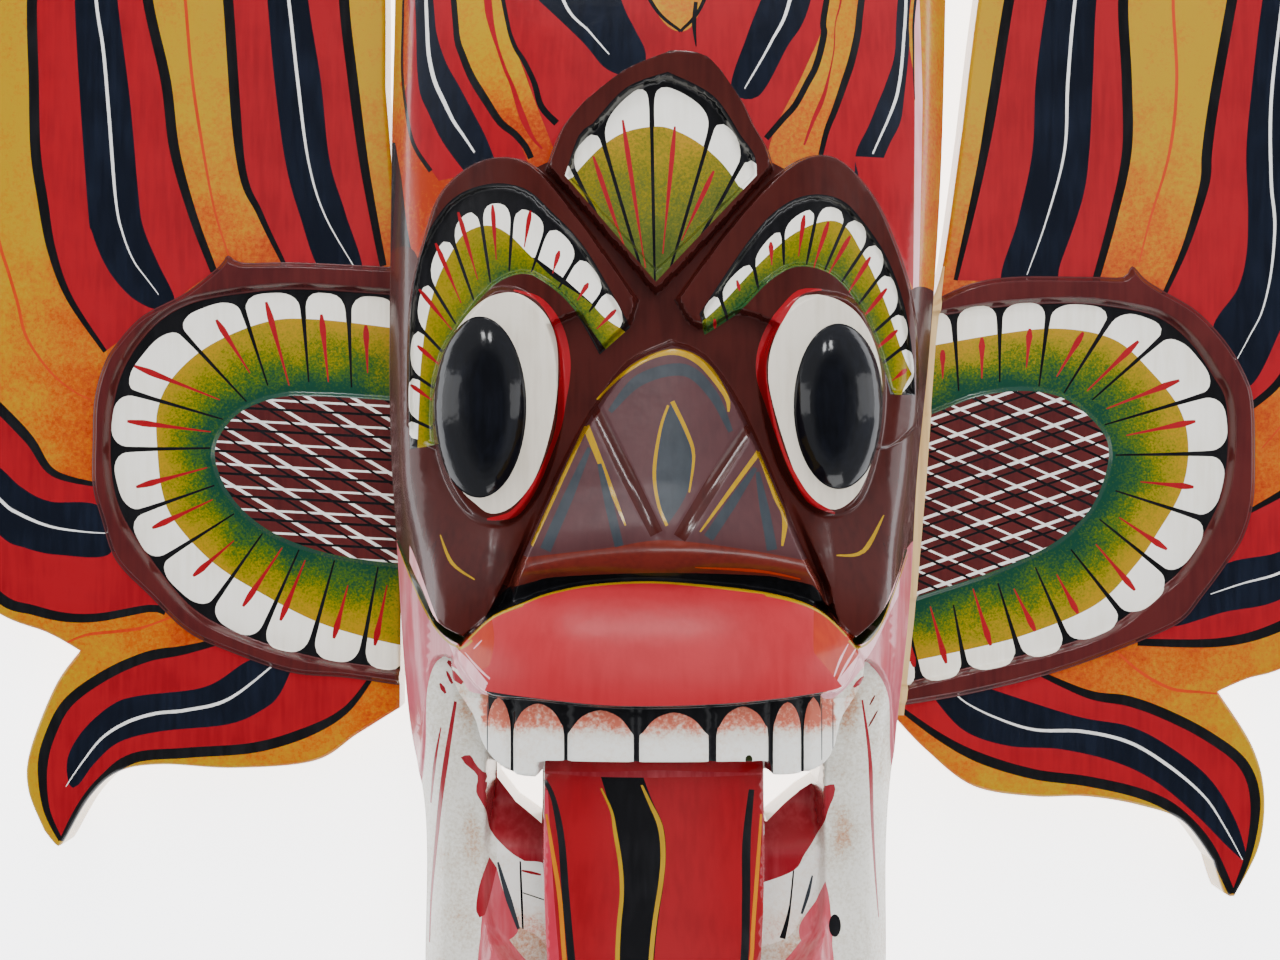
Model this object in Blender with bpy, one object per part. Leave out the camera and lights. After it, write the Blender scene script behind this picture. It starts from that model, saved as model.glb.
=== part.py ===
# Raksha mask: a carved and painted wooden demon mask with two flat ear boards.
# The mask lies on its back. Z = 0 is the flat rim of its hollow back, +Z points out of the face,
# +Y points to the crown and +X is on the viewer's right.
# The carver's drawing below is in drawing units: the whole mask is DRAWING_HEIGHT of them tall.
# Boards, walls, tabs and clearances have sizes of their own, in metres.

import math

import bmesh
import bpy
from mathutils import Vector
from mathutils.geometry import delaunay_2d_cdt

# Driving sizes, in metres
MASK_HEIGHT = 0.4935
RELIEF_DEPTH = 0.099
HEAD_WALL = 0.011
HOLLOW_CEILING = 0.036
HOLLOW_ROUNDING = 0.010
WING_THICKNESS = 0.012
WING_FRONT = 0.0245
WING_EDGE_ROUNDING = 0.0012
EAR_FRAME_RISE = 0.0021
EAR_FIELD_DEPTH = 0.0007
EAR_CORE_RISE = 0.0009
TAB_LENGTH = 0.044
TAB_REACH = 0.020
FIT_CLEARANCE = 0.0003
FACE_HOLLOW_CEILING = 0.057
MOUTH_FLOOR = 0.050
CUT_OVERRUN = 0.004

# Scale of the drawing
DRAWING_HEIGHT = 493.5
DRAWING_DEPTH = 99.0
UNIT = MASK_HEIGHT / DRAWING_HEIGHT
UNIT_DEEP = RELIEF_DEPTH / DRAWING_DEPTH

# How finely the drawing is cut into faces, in drawing units
GRID_STEP = 11.5
CURVE_STEP = 6.0
STEP_WIDTH = 1.6
EAR_SLOPE = 1.8
MERGE_DISTANCE = 0.12

# Outlines of the head: each span is a smooth curve, and spans meet in a corner
JAW_AND_LEFT_SIDE = [(-1.5, -195.5), (-27, -191.5), (-48, -178), (-60, -154.5), (-62, -127.5), (-62.5, -88),
                     (-66.5, -62), (-69.5, -20), (-72, 20), (-72, 90), (-72, 135), (-75, 178), (-83, 222)]
CROWN_FLAMES = [
    [(-83, 222), (-68, 206), (-59, 192)],
    [(-59, 192), (-59, 222), (-51, 250), (-38, 275)],
    [(-38, 275), (-27, 250), (-20, 226)],
    [(-20, 226), (-15, 256), (-7, 278), (5, 298)],
    [(5, 298), (14, 278), (20, 256), (23, 227)],
    [(23, 227), (32, 252), (45, 275)],
    [(45, 275), (56, 248), (62, 222), (62, 193)],
    [(62, 193), (74, 208), (89, 222)],
]
RIGHT_SIDE_AND_JAW = [(89, 222), (80.5, 176), (77.5, 130), (75, 80), (71.5, 36), (67.5, 0), (65.5, -30),
                      (62.5, -60), (60, -88), (59, -127.5), (56, -154.5), (45, -178), (24, -191.5), (-1.5, -195.5)]
HEAD_OUTLINE = [JAW_AND_LEFT_SIDE] + CROWN_FLAMES + [RIGHT_SIDE_AND_JAW]

# Three-lobed crest on the forehead, with its raised frame
CREST = [[(-1.5, 46.5), (-11.5, 58.5), (-30, 79.5)], [(-30, 79.5), (-26, 90), (-20.5, 97)],
         [(-20.5, 97), (-10, 105), (2, 110)], [(2, 110), (12, 108.5), (20, 99), (24, 91)],
         [(24, 91), (27.5, 85), (29, 79.5)], [(29, 79.5), (12.5, 61), (-1.5, 46.5)]]
CREST_FIELD = [[(-1.5, 52), (-24.5, 77)], [(-24.5, 77), (-21, 87), (-17.5, 90)], [(-17.5, 90), (-9, 99), (1.5, 103)],
               [(1.5, 103), (13, 97), (20, 87)], [(20, 87), (23.5, 82), (24, 77)], [(24, 77), (-1.5, 52)]]

# Brows: the outer edge of each raised frame, then the field of petals inside it
BROW_LEFT = [[(-66.5, 14), (-66, 45), (-62, 63), (-57, 75.5), (-46, 83), (-33.5, 81.5), (-22, 69), (-5.5, 46)],
             [(-5.5, 46), (-9, 38), (-20, 42), (-40, 30), (-56, 8), (-66.5, 14)]]
BROW_RIGHT = [[(68, 14), (66.5, 44), (59.5, 66), (52, 78), (43, 84), (32, 80.5), (18, 66), (3, 46)],
              [(3, 46), (9, 38), (20, 42), (38, 32), (54, 8), (68, 14)]]
PETALS_LEFT = [[(-65.5, 8), (-65.5, 27), (-64.8, 46), (-62, 60), (-54.5, 71.5), (-44.5, 75.5), (-35, 74), (-28, 68),
                (-19, 58), (-8, 39)],
               [(-8, 39), (-15.8, 32)],
               [(-15.8, 32), (-22.5, 43.5), (-30, 50.2), (-35.6, 52.3), (-42.8, 49.5), (-50.3, 41.3), (-55.1, 32.2),
                (-58.4, 19.5), (-58.3, 9), (-65.5, 8)]]
PETALS_RIGHT = [[(66, 22), (65, 33), (62.5, 46), (58, 57.5), (52, 66), (46, 71.5), (38, 72.5), (30, 69), (22, 60.5),
                 (9.5, 42)],
                [(9.5, 42), (11, 37)],
                [(11, 37), (20, 43), (27, 50), (34, 54), (42, 53), (48, 48), (53, 40), (56.5, 31), (59, 22),
                 (66, 22)]]

# Eyes: the red rim of each socket, the eyeball and the bulging pupil as (x, y, half width, half height)
EYE_LEFT = [[(-50, 43), (-43, 50.5), (-34, 49), (-25.5, 38), (-23, 25), (-24.5, 11), (-31, -6), (-39, -13),
             (-49, -11), (-57, 2), (-60, 20), (-57, 34), (-50, 43)]]
EYE_RIGHT = [[(39.5, 50.5), (30, 45), (23.5, 31), (24, 19), (28.5, 4), (36, -8), (44, -11), (52, -6), (57.5, 10),
              (58.5, 26), (54, 41), (48, 48), (39.5, 50.5)]]
PUPILS = [(-46.3, 18.5, 12, 22.8), (45, 18.7, 11.6, 20.8)]

# Nose, cheeks, lip, teeth, tongue and jaw
NOSE = [[(2.5, 36), (-9, 30.5), (-17, 20), (-25, 6), (-31, -7.5), (-37.5, -23), (-41, -33)],
        [(-41, -33), (44, -33)],
        [(44, -33), (40.5, -25), (36, -17), (27.5, 4), (19, 22), (11, 32.5), (2.5, 36)]]
CHEEK_LEFT = [[(-72, 20), (-69.5, -16), (-62.5, -28), (-57.5, -36.5), (-50, -40.5)],
              [(-50, -40.5), (-43, -35), (-38, -25)], [(-38, -25), (-31, -7.5), (-25, 6), (-17, 20)],
              [(-17, 20), (-72, 20)]]
CHEEK_RIGHT = [[(71, 20), (64, -18), (57, -33), (48.5, -41)], [(48.5, -41), (43, -36), (40.5, -26)],
               [(40.5, -26), (34, -10), (27.5, 4), (19, 20)], [(19, 20), (71, 20)]]
LIP = [[(-51, -43), (-48, -39.5), (-42, -34), (-34, -30.5), (-27, -28), (-16, -26), (1, -25.5), (25, -28), (38, -32),
        (45.5, -38.5), (48.5, -43)],
       [(48.5, -43), (44, -50.5), (38.5, -51.5), (14, -53.5), (-10, -54), (-31, -52.5), (-43.5, -51.5), (-51, -43)]]
# The pink fold that runs from each mouth corner out and up to the side of the head
FOLD_LEFT = [[(-50, -40.5), (-57.5, -36.5), (-62.5, -28), (-69.5, -16), (-74, -14)],
             [(-74, -14), (-70, -60), (-64, -84)],
             [(-64, -84), (-61.5, -70), (-60.5, -54), (-57, -46), (-50.5, -47.5), (-43, -52.5)],
             [(-43, -52.5), (-42, -46), (-44, -38), (-50, -40.5)]]
FOLD_RIGHT = [[(48.5, -41), (57, -33), (64, -18), (72, -14)], [(72, -14), (68, -60), (62, -86)],
              [(62, -86), (60, -70), (58.5, -55), (52, -46.5), (45, -49.5), (41, -52.5)],
              [(41, -52.5), (40, -46), (42, -38), (48.5, -41)]]
TEETH_TOP = -42.0
TEETH_BOTTOM = [(-46, -60), (-43.5, -66.5), (-37.5, -71.5), (-30, -72.5), (-6.5, -71.5), (12, -71.5), (27.5, -72),
                (36, -71.5), (41.5, -68), (44, -60)]
TEETH_GAPS = [-37, -23.5, -6.5, 12, 26.5, 34.5]
TONGUE = [[(-29.5, -70), (-29.5, -90), (-28.5, -116), (-26, -134), (-15, -149), (-2, -154), (11, -149), (21, -134),
           (24.5, -116), (25.5, -90), (25.5, -70)], [(25.5, -70), (-29.5, -70)]]
MOUTH = [[(-45, -58), (-46, -80), (-46, -112), (-38, -128), (-20, -135), (-2, -137), (16, -135), (34, -128),
          (42.5, -112), (42.5, -80), (43, -58)], [(43, -58), (-45, -58)]]
LOWER_LIP = [[(-46, -113), (-47, -128), (-40, -141), (-22, -149), (-2, -152), (18, -149), (36, -141), (44, -128),
              (43, -113)],
             [(43, -113), (38, -118), (30, -127), (16, -134), (-2, -136), (-20, -134), (-33, -127), (-41, -118),
              (-46, -113)]]
MOUTH_GAPS = [[(-43.5, -74.6), (-31.4, -74.6), (-31.4, -90.5), (-38.5, -85.5), (-43.5, -79)],
              [(27.4, -74.6), (41.5, -74.6), (41, -80), (37, -82.5), (28, -90), (27.4, -90)]]

# Hollow back: how far it runs up, and the deeper part behind the face as (x, y, half width, half height)
HOLLOW_TOP = 172.0
FACE_HOLLOW_PLAN = (1, 26, 43, 62)
HOLLOW_ROUNDING_STEPS = 3
PUPIL_RINGS = (1.0, 0.8, 0.45)

# Outlines of the wings. The last span runs down the inner edge to the tab.
WING_LEFT = [
    [(-73, -64), (-85, -71.5), (-97, -79), (-119.5, -81), (-140, -80), (-152, -82), (-160, -89), (-166.5, -100)],
    [(-166.5, -100), (-169, -103), (-173, -98.5)],
    [(-173, -98.5), (-177.5, -87), (-177, -76), (-170, -58), (-163, -48)],
    [(-163, -48), (-172, -43), (-185, -38), (-202, -26), (-214, 0), (-219, 34), (-222, 92)],
    [(-222, 92), (-206, 66), (-196, 56)],
    [(-196, 56), (-197, 95), (-192, 134), (-178, 172), (-158, 206)],
    [(-158, 206), (-150, 186), (-138, 168), (-128, 162)],
    [(-128, 162), (-131, 190), (-128, 216), (-116, 250)],
    [(-116, 250), (-96, 224), (-82, 190), (-77.5, 150), (-77, 110)],
    [(-77, 110), (-73, 60), (-72.6, 50)],
]
WING_RIGHT = [
    [(66, -66.5), (75, -76), (88, -86), (105, -89), (120, -89), (135, -91.5), (147, -96), (155.5, -107)],
    [(155.5, -107), (158.5, -116), (161.5, -117)],
    [(161.5, -117), (168.5, -103), (170, -88), (166.5, -74.5), (157, -59.5)],
    [(157, -59.5), (165, -56), (176, -52.5), (196, -40), (210, -14), (217, 20), (222, 74)],
    [(222, 74), (210, 52), (199, 40)],
    [(199, 40), (206, 84), (205, 128), (196, 166), (178, 200)],
    [(178, 200), (170, 180), (158, 164), (150, 158)],
    [(150, 158), (151, 186), (146, 212), (132, 244)],
    [(132, 244), (112, 218), (97, 182), (89.5, 134.5), (85, 98)],
    [(85, 98), (79.5, 60), (75.2, 48)],
]

# The carved ear on each board: outer and inner edge of its raised frame, and the edge of its core
EARS = {
    "left": (
        [(-70, 59.5), (-101, 61), (-117, 61), (-133, 52.5), (-145, 46), (-156, 32), (-159, 11), (-156.5, -11),
         (-143, -32.5), (-121, -48), (-103.5, -54), (-87.5, -55.5), (-70, -58)],
        [(-70, 51.5), (-99.5, 53.5), (-116, 52.5), (-131.5, 49.5), (-142, 43), (-150, 32), (-154, 4), (-145, -19),
         (-131.5, -35.5), (-115.5, -44), (-95, -50), (-70, -53.5)],
        [(-70, 23.5), (-95, 25), (-108, 24.5), (-119.5, 19.5), (-126, 10), (-124.5, 0), (-118, -9.5),
         (-107.5, -17), (-91.5, -22.5), (-70, -25.5)]),
    "right": (
        [(70, 48), (87, 55), (99.5, 57), (130, 58), (150.5, 47.5), (164.5, 29), (167, 8), (163.5, -16.5),
         (152, -33), (136.5, -44.5), (112.5, -53.5), (87, -60), (60, -64.5)],
        [(70, 44), (95.5, 48.5), (116.5, 49.5), (133.5, 47.5), (149.5, 38), (159, 22), (159.5, 8.5), (153, -14.5),
         (139.5, -31), (127.5, -40.5), (112.5, -46.5), (87, -52.5), (60, -59)],
        [(66, 16), (76, 20), (89.5, 25), (104, 26.5), (115.5, 23.5), (125, 15), (127.5, 7.5), (125.5, -2),
         (120.5, -11), (110.5, -19.5), (95.5, -26.5), (81, -31.5), (60, -38)]),
}

# Where each wing meets the head: side, sign of X, middle of the tab's root, lean of the inner edge
WING_FITS = [("left", -1, (-72.6, 21), 0.0), ("right", 1, (72.6, 21), math.radians(5.5))]
WING_COLOURS = [(0.9, 0.5, 0.02), (0.9, 0.46, 0.02)]


def smooth(share):
    """Ease from 0 to 1 with level ends."""
    share = min(max(share, 0.0), 1.0)
    return share * share * (3.0 - 2.0 * share)


def mix(low, high, share):
    return low + (high - low) * share


def profile(place, stations):
    """Read a smooth profile that is given as (place, value) stations from low to high."""
    ends = [stations[0]] + list(stations) + [stations[-1]]
    if place <= stations[0][0]:
        return stations[0][1]
    for before, start, end, after in zip(ends, ends[1:], ends[2:], ends[3:]):
        if place <= end[0]:
            length = end[0] - start[0]
            slope_in = (end[1] - before[1]) / (end[0] - before[0]) * length
            slope_out = (after[1] - start[1]) / (after[0] - start[0]) * length
            t = (place - start[0]) / length
            rise = end[1] - start[1]
            return (start[1] + slope_in * t + (3 * rise - 2 * slope_in - slope_out) * t * t
                    + (slope_in + slope_out - 2 * rise) * t ** 3)
    return stations[-1][1]


def span_points(span):
    """Catmull-Rom curve through one span, without its last point."""
    ends = [span[0]] + list(span) + [span[-1]]
    points = []
    for before, start, end, after in zip(ends, ends[1:], ends[2:], ends[3:]):
        count = max(1, round(math.dist(start, end) / CURVE_STEP))
        for index in range(count):
            t = index / count
            points.append(tuple(
                0.5 * (2 * b + (c - a) * t + (2 * a - 5 * b + 4 * c - d) * t * t + (3 * b - a - 3 * c + d) * t ** 3)
                for a, b, c, d in zip(before, start, end, after)))
    return points


def closed_loop(spans):
    """One closed outline from its spans."""
    return [point for span in spans for point in span_points(span)]


def moved_out(loop, distance):
    """The outline moved outwards by a distance, each point along its own normal."""
    area = sum(a[0] * b[1] - b[0] * a[1] for a, b in zip(loop, loop[1:] + loop[:1]))
    side = 1.0 if area > 0 else -1.0
    moved = []
    for before, here, after in zip(loop[-1:] + loop[:-1], loop, loop[1:] + loop[:1]):
        along = Vector(after) - Vector(before)
        if along.length < 1e-6:
            continue
        normal = Vector((along.y, -along.x)).normalized() * side
        moved.append((here[0] + normal.x * distance, here[1] + normal.y * distance))
    return moved


def depth_inside(x, y, loop):
    """Distance to an outline, positive inside it."""
    nearest = 1e9
    inside = False
    ax, ay = loop[-1]
    for bx, by in loop:
        dx, dy = bx - ax, by - ay
        length = dx * dx + dy * dy
        t = 0.0 if length == 0 else min(max(((x - ax) * dx + (y - ay) * dy) / length, 0.0), 1.0)
        nearest = min(nearest, math.hypot(x - ax - t * dx, y - ay - t * dy))
        if (ay > y) != (by > y) and x < ax + (y - ay) / (by - ay) * dx:
            inside = not inside
        ax, ay = bx, by
    return nearest if inside else -nearest


# The closed outlines, ready to measure against
HEAD_LOOP = closed_loop(HEAD_OUTLINE)
LOOPS = {name: closed_loop(spans) for name, spans in {
    "crest": CREST, "crest_field": CREST_FIELD,
    "brow_left": BROW_LEFT, "brow_right": BROW_RIGHT,
    "petals_left": PETALS_LEFT, "petals_right": PETALS_RIGHT,
    "eye_left": EYE_LEFT, "eye_right": EYE_RIGHT,
    "cheek_left": CHEEK_LEFT, "cheek_right": CHEEK_RIGHT,
    "fold_left": FOLD_LEFT, "fold_right": FOLD_RIGHT,
    "nose": NOSE, "lip": LIP,
    "teeth": [[(44, -60), (44, TEETH_TOP), (-46, TEETH_TOP), (-46, -60)], TEETH_BOTTOM],
    "tongue": TONGUE, "mouth": MOUTH, "lower_lip": LOWER_LIP,
}.items()}
# The drawn edge of these three is the edge of their front, so their sides stand outside it
for name in ("lip", "teeth", "tongue"):
    LOOPS[name] = moved_out(LOOPS[name], STEP_WIDTH)

# Heights of the block's middle line from chin to crown, and how far it falls towards its sides
MIDDLE_PROFILE = [(-196, 50), (-170, 68), (-140, 72), (-100, 66), (-50, 72), (-20, 72), (20, 70), (60, 68), (110, 64),
                  (140, 59), (220, 42), (300, 28)]
SIDE_FALL = 12.0
SIDE_REACH = 72.0
EDGE_ROUNDING = 9.0
EDGE_DROP = 7.0
PUPIL_RISE = 15.0
JAW_RISE = 10.0


def carved(z, name, x, y, top, width=STEP_WIDTH):
    """Bring the surface to a new height inside an outline, over a narrow slope along its edge."""
    return mix(z, top, smooth(depth_inside(x, y, LOOPS[name]) / width))


def relief(x, y):
    """Height of the face over its back rim, in drawing units."""
    z = profile(y, MIDDLE_PROFILE) - SIDE_FALL * min(abs(x - 1) / SIDE_REACH, 1.2) ** 2.4
    z = carved(z, "crest", x, y, 74.5 - 0.0016 * x * x)
    z = carved(z, "crest_field", x, y, 70.5 - 0.0016 * x * x)
    for side, sign in (("left", -1), ("right", 1)):
        across = sign * x
        bulge = 12.0 * smooth((4 - y) / 42) * smooth((across - 30) / 14) * (1.0 - smooth((across - 54) / 16))
        cheek = z + bulge
        z = carved(z, "fold_" + side, x, y, max(z, min(84.0 - 1.15 * (across - 43), 84.0)))
        z = carved(z, "cheek_" + side, x, y, cheek)
        brow = 74.0 - 11.0 * smooth((across - 22) / 50)
        z = carved(z, "brow_" + side, x, y, brow)
        z = carved(z, "petals_" + side, x, y, brow - 2.2)
        z = carved(z, "eye_" + side, x, y, 75.0 - 6.0 * smooth((across - 25) / 40), 2.5)
    for centre_x, centre_y, half_width, half_height in PUPILS:
        reach = min(math.hypot((x - centre_x) / half_width, (y - centre_y) / half_height), 1.0) ** 2
        z += PUPIL_RISE * (1.0 - reach) * (1.0 + 0.45 * reach)
    bent = y + 4.5 * ((x - 1) / 36) ** 2
    ridge = profile(bent, [(-30, 83), (-24, 85.5), (-15.5, 95), (0, 88.5), (36, 76)])
    ridge -= 0.16 * (math.hypot(x - 1.5, 8) - 8)
    z = carved(z, "nose", x, y, ridge, 3.0)
    inside_jaw = MOUTH_FLOOR / UNIT_DEEP + JAW_RISE * smooth((-84 - y) / 14)
    z = carved(z, "mouth", x, y, inside_jaw, 2.5)
    teeth = 92.0 - 10.0 * (abs(x + 1) / 46) ** 2.5
    groove = min(abs(x - gap) for gap in TEETH_GAPS)
    z = carved(z, "teeth", x, y, teeth - 1.8 * (1.0 - smooth(groove / 1.6)))
    z = carved(z, "lip", x, y, 98.5 - 0.02 * (y + 50) ** 2 - 15.0 * (abs(x) / 50) ** 3)
    z = carved(z, "lower_lip", x, y, 77 - 9 * (abs(x) / 46) ** 2, 4.0)
    tongue = profile(-y, [(70, 79), (110, 87), (138, 95), (154, 93)]) - 5.0 * (abs(x + 2) / 28) ** 2
    z = carved(z, "tongue", x, y, tongue)
    fall = 1.0 - min(max(depth_inside(x, y, HEAD_LOOP), 0.0) / EDGE_ROUNDING, 1.0)
    return z - EDGE_DROP * fall * fall


def triangulated(outline, loops, extra_points):
    """Triangles that fill an outline and follow every other loop, as points and faces."""
    points = []
    edges = []
    for loop in [outline] + loops:
        start = len(points)
        points += [Vector(point) for point in loop]
        edges += [(start + index, start + (index + 1) % len(loop)) for index in range(len(loop))]
    points += [Vector(point) for point in extra_points]
    vertices, _, faces, _, _, _ = delaunay_2d_cdt(points, edges, [], 0, MERGE_DISTANCE)
    kept = []
    for face in faces:
        middle = sum((vertices[index] for index in face), Vector((0.0, 0.0))) / len(face)
        if depth_inside(middle.x, middle.y, outline) > 0:
            kept.append(face)
    return vertices, kept


def grid_inside(loop, step, margin):
    """Points of a staggered grid that keep a margin to the outline."""
    low_x, high_x = min(p[0] for p in loop), max(p[0] for p in loop)
    low_y, high_y = min(p[1] for p in loop), max(p[1] for p in loop)
    points = []
    row = 0
    y = low_y
    while y < high_y:
        x = low_x + (step / 2 if row % 2 else 0.0)
        while x < high_x:
            if depth_inside(x, y, loop) > margin:
                points.append((x, y))
            x += step
        y += step * 0.87
        row += 1
    return points


def closed_block(name, vertices, faces, top_height, bottom):
    """A closed solid over a filled outline: a carved top, upright sides and a flat bottom, in metres."""
    build = bmesh.new()
    top = [build.verts.new((v.x * UNIT, v.y * UNIT, top_height(v.x, v.y))) for v in vertices]
    for face in faces:
        build.faces.new([top[index] for index in face])
    loose = [vert for vert in build.verts if not vert.link_faces]
    bmesh.ops.delete(build, geom=loose, context="VERTS")
    rim = [edge for edge in build.edges if edge.is_boundary]
    walls = bmesh.ops.extrude_edge_only(build, edges=rim)["geom"]
    base = [item for item in walls if isinstance(item, bmesh.types.BMEdge) and item.is_boundary]
    for edge in base:
        for vert in edge.verts:
            vert.co.z = bottom
    bmesh.ops.holes_fill(build, edges=base)
    bmesh.ops.recalc_face_normals(build, faces=build.faces)
    return finished(name, build)


def finished(name, build):
    """Turn a bmesh into an object of the scene."""
    mesh = bpy.data.meshes.new(name)
    build.to_mesh(mesh)
    build.free()
    piece = bpy.data.objects.new(name, mesh)
    bpy.context.scene.collection.objects.link(piece)
    return piece


def prism(name, outline, low, high):
    """Upright prism over an outline in drawing units, between two heights in metres."""
    build = bmesh.new()
    lower, upper = ([build.verts.new((x * UNIT, y * UNIT, z)) for x, y in outline] for z in (low, high))
    for index in range(len(lower)):
        after = (index + 1) % len(lower)
        build.faces.new([lower[index], lower[after], upper[after], upper[index]])
    build.faces.new(list(reversed(lower)))
    build.faces.new(upper)
    bmesh.ops.recalc_face_normals(build, faces=build.faces)
    return finished(name, build)


def cut_from(piece, cutter):
    """Cut a hidden solid from a piece with a Boolean modifier."""
    cutter.hide_render = True
    cutter.display_type = "WIRE"
    cutter.hide_set(True)
    cut = piece.modifiers.new(cutter.name, "BOOLEAN")
    cut.operation = "DIFFERENCE"
    cut.solver = "EXACT"
    cut.object = cutter


def painted(piece, colour, roughness, metallic=0.0):
    """Give a piece its own material."""
    material = bpy.data.materials.new(piece.name + "_paint")
    material.use_nodes = True
    shader = material.node_tree.nodes["Principled BSDF"]
    shader.inputs["Base Color"].default_value = (*colour, 1.0)
    shader.inputs["Roughness"].default_value = roughness
    shader.inputs["Metallic"].default_value = metallic
    piece.data.materials.append(material)


def hollow_outline():
    """Plan of the hollow back: the block's sides moved in by the wall, closed straight under the crown."""
    wall = HEAD_WALL / UNIT
    return [point for point in moved_out(HEAD_LOOP, -wall) if point[1] < HOLLOW_TOP]


def ellipse(centre_x, centre_y, half_width, half_height, count):
    turns = [math.tau * index / count for index in range(count)]
    return [(centre_x + half_width * math.cos(turn), centre_y + half_height * math.sin(turn)) for turn in turns]


def hollow(name, outline, low, ceiling):
    """Cutter for a hollow with a rounded ceiling."""
    build = bmesh.new()
    rings = []
    for index in range(HOLLOW_ROUNDING_STEPS + 1):
        turn = math.pi / 2 * index / HOLLOW_ROUNDING_STEPS
        inset = HOLLOW_ROUNDING * (1 - math.cos(turn)) / UNIT
        height = ceiling - HOLLOW_ROUNDING * (1 - math.sin(turn))
        rings.append((height, moved_out(outline, -inset)))
    rings.insert(0, (low, outline))
    levels = [[build.verts.new((x * UNIT, y * UNIT, height)) for x, y in loop] for height, loop in rings]
    for lower, upper in zip(levels, levels[1:]):
        for index in range(len(lower)):
            after = (index + 1) % len(lower)
            build.faces.new([lower[index], lower[after], upper[after], upper[index]])
    build.faces.new(list(reversed(levels[0])))
    build.faces.new(levels[-1])
    bmesh.ops.recalc_face_normals(build, faces=build.faces)
    return finished(name, build)


def tab_outline(tab_root, lean, side, back=0.0, grow=0.0):
    """Plan of a wing's tab: it runs inwards from the wing's inner edge, and starts a little back for a cut."""
    half = (TAB_LENGTH / 2 + grow) / UNIT
    inwards = Vector((math.cos(lean), -math.sin(lean))) * -side
    upwards = Vector((math.sin(lean) * side, math.cos(lean)))
    root = Vector(tab_root)
    outer = root - inwards * back / UNIT
    inner = root + inwards * (TAB_REACH + grow) / UNIT
    return [outer - upwards * half, inner - upwards * half, inner + upwards * half, outer + upwards * half]


def head():
    """Carved face block, hollowed from the back, with its mouth gaps and the slots for the wings."""
    feature_loops = []
    for loop in LOOPS.values():
        feature_loops += [loop, moved_out(loop, -STEP_WIDTH)]
    for centre_x, centre_y, half_width, half_height in PUPILS:
        for ring in PUPIL_RINGS:
            feature_loops.append(ellipse(centre_x, centre_y, ring * half_width, ring * half_height, 20))
    spots = grid_inside(HEAD_LOOP, GRID_STEP, EDGE_ROUNDING / 2)
    vertices, faces = triangulated(HEAD_LOOP, feature_loops, spots)
    block = closed_block("head", vertices, faces, lambda x, y: relief(x, y) * UNIT_DEEP, 0.0)
    painted(block, (0.52, 0.02, 0.03), 0.25)
    below = -CUT_OVERRUN
    cut_from(block, hollow("hollow_back", hollow_outline(), below, HOLLOW_CEILING))
    deep_outline = ellipse(*FACE_HOLLOW_PLAN, 40)
    cut_from(block, hollow("hollow_face", deep_outline, HOLLOW_CEILING / 2, FACE_HOLLOW_CEILING))
    for side, gap in zip(("left", "right"), MOUTH_GAPS):
        cut_from(block, prism("mouth_gap_" + side, gap, HOLLOW_CEILING / 2, RELIEF_DEPTH * 1.2))
    for side, sign, root, lean in WING_FITS:
        plan = tab_outline(root, lean, sign, TAB_REACH / 2, FIT_CLEARANCE)
        low = WING_FRONT - WING_THICKNESS - FIT_CLEARANCE
        cut_from(block, prism("slot_" + side, plan, low, WING_FRONT + FIT_CLEARANCE))


def wing(side, sign, spans, tab_root, lean, colour):
    """Flat board with flames, a curl and an ear whose frame is carved proud, and the tab on its inner edge."""
    outline = closed_loop(spans) + [spans[-1][-1]]
    tab = tab_outline(tab_root, lean, sign)
    outline += reversed(tab)
    frame_outer, frame_inner, core = (closed_loop([line, [line[-1], line[0]]]) for line in EARS[side])

    def front(x, y):
        """Height of the board's front over the back rim, in metres."""
        to_frame = depth_inside(x, y, frame_outer) / EAR_SLOPE
        to_field = depth_inside(x, y, frame_inner) / EAR_SLOPE
        carving = EAR_FRAME_RISE * smooth(to_frame) * smooth(-to_field)
        carving -= EAR_FIELD_DEPTH * smooth(to_field + 1.0)
        carving += EAR_CORE_RISE * smooth(depth_inside(x, y, core) / EAR_SLOPE)
        carving *= smooth(-depth_inside(x, y, tab) / EAR_SLOPE)
        edge = min(max(depth_inside(x, y, outline), 0.0) * UNIT, WING_EDGE_ROUNDING)
        return WING_FRONT + carving - WING_EDGE_ROUNDING + edge

    feature_loops = [
        frame_outer, moved_out(frame_outer, -EAR_SLOPE), frame_inner, moved_out(frame_inner, EAR_SLOPE),
        core, moved_out(core, -EAR_SLOPE), moved_out(tab, EAR_SLOPE), moved_out(outline, -WING_EDGE_ROUNDING / UNIT)]
    vertices, faces = triangulated(outline, feature_loops, [])
    board = closed_block("wing_" + side, vertices, faces, front, WING_FRONT - WING_THICKNESS)
    painted(board, colour, 0.3)


def centre_on_origin():
    """Move everything so that the middle of the mask's box is over the origin."""
    shown = [piece for piece in bpy.data.objects if not piece.hide_render]
    corners = [vert.co for piece in shown for vert in piece.data.vertices]
    middle_x = (min(c.x for c in corners) + max(c.x for c in corners)) / 2
    middle_y = (min(c.y for c in corners) + max(c.y for c in corners)) / 2
    for piece in bpy.data.objects:
        piece.location = (-middle_x, -middle_y, 0.0)


for old in list(bpy.data.objects):
    bpy.data.objects.remove(old)
head()
for (side, sign, root, lean), outline_spans, paint in zip(WING_FITS, (WING_LEFT, WING_RIGHT), WING_COLOURS):
    wing(side, sign, outline_spans, root, lean, paint)
centre_on_origin()
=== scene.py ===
import math

import bmesh
import bpy
import numpy as np
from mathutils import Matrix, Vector
from mathutils.geometry import delaunay_2d_cdt


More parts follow.
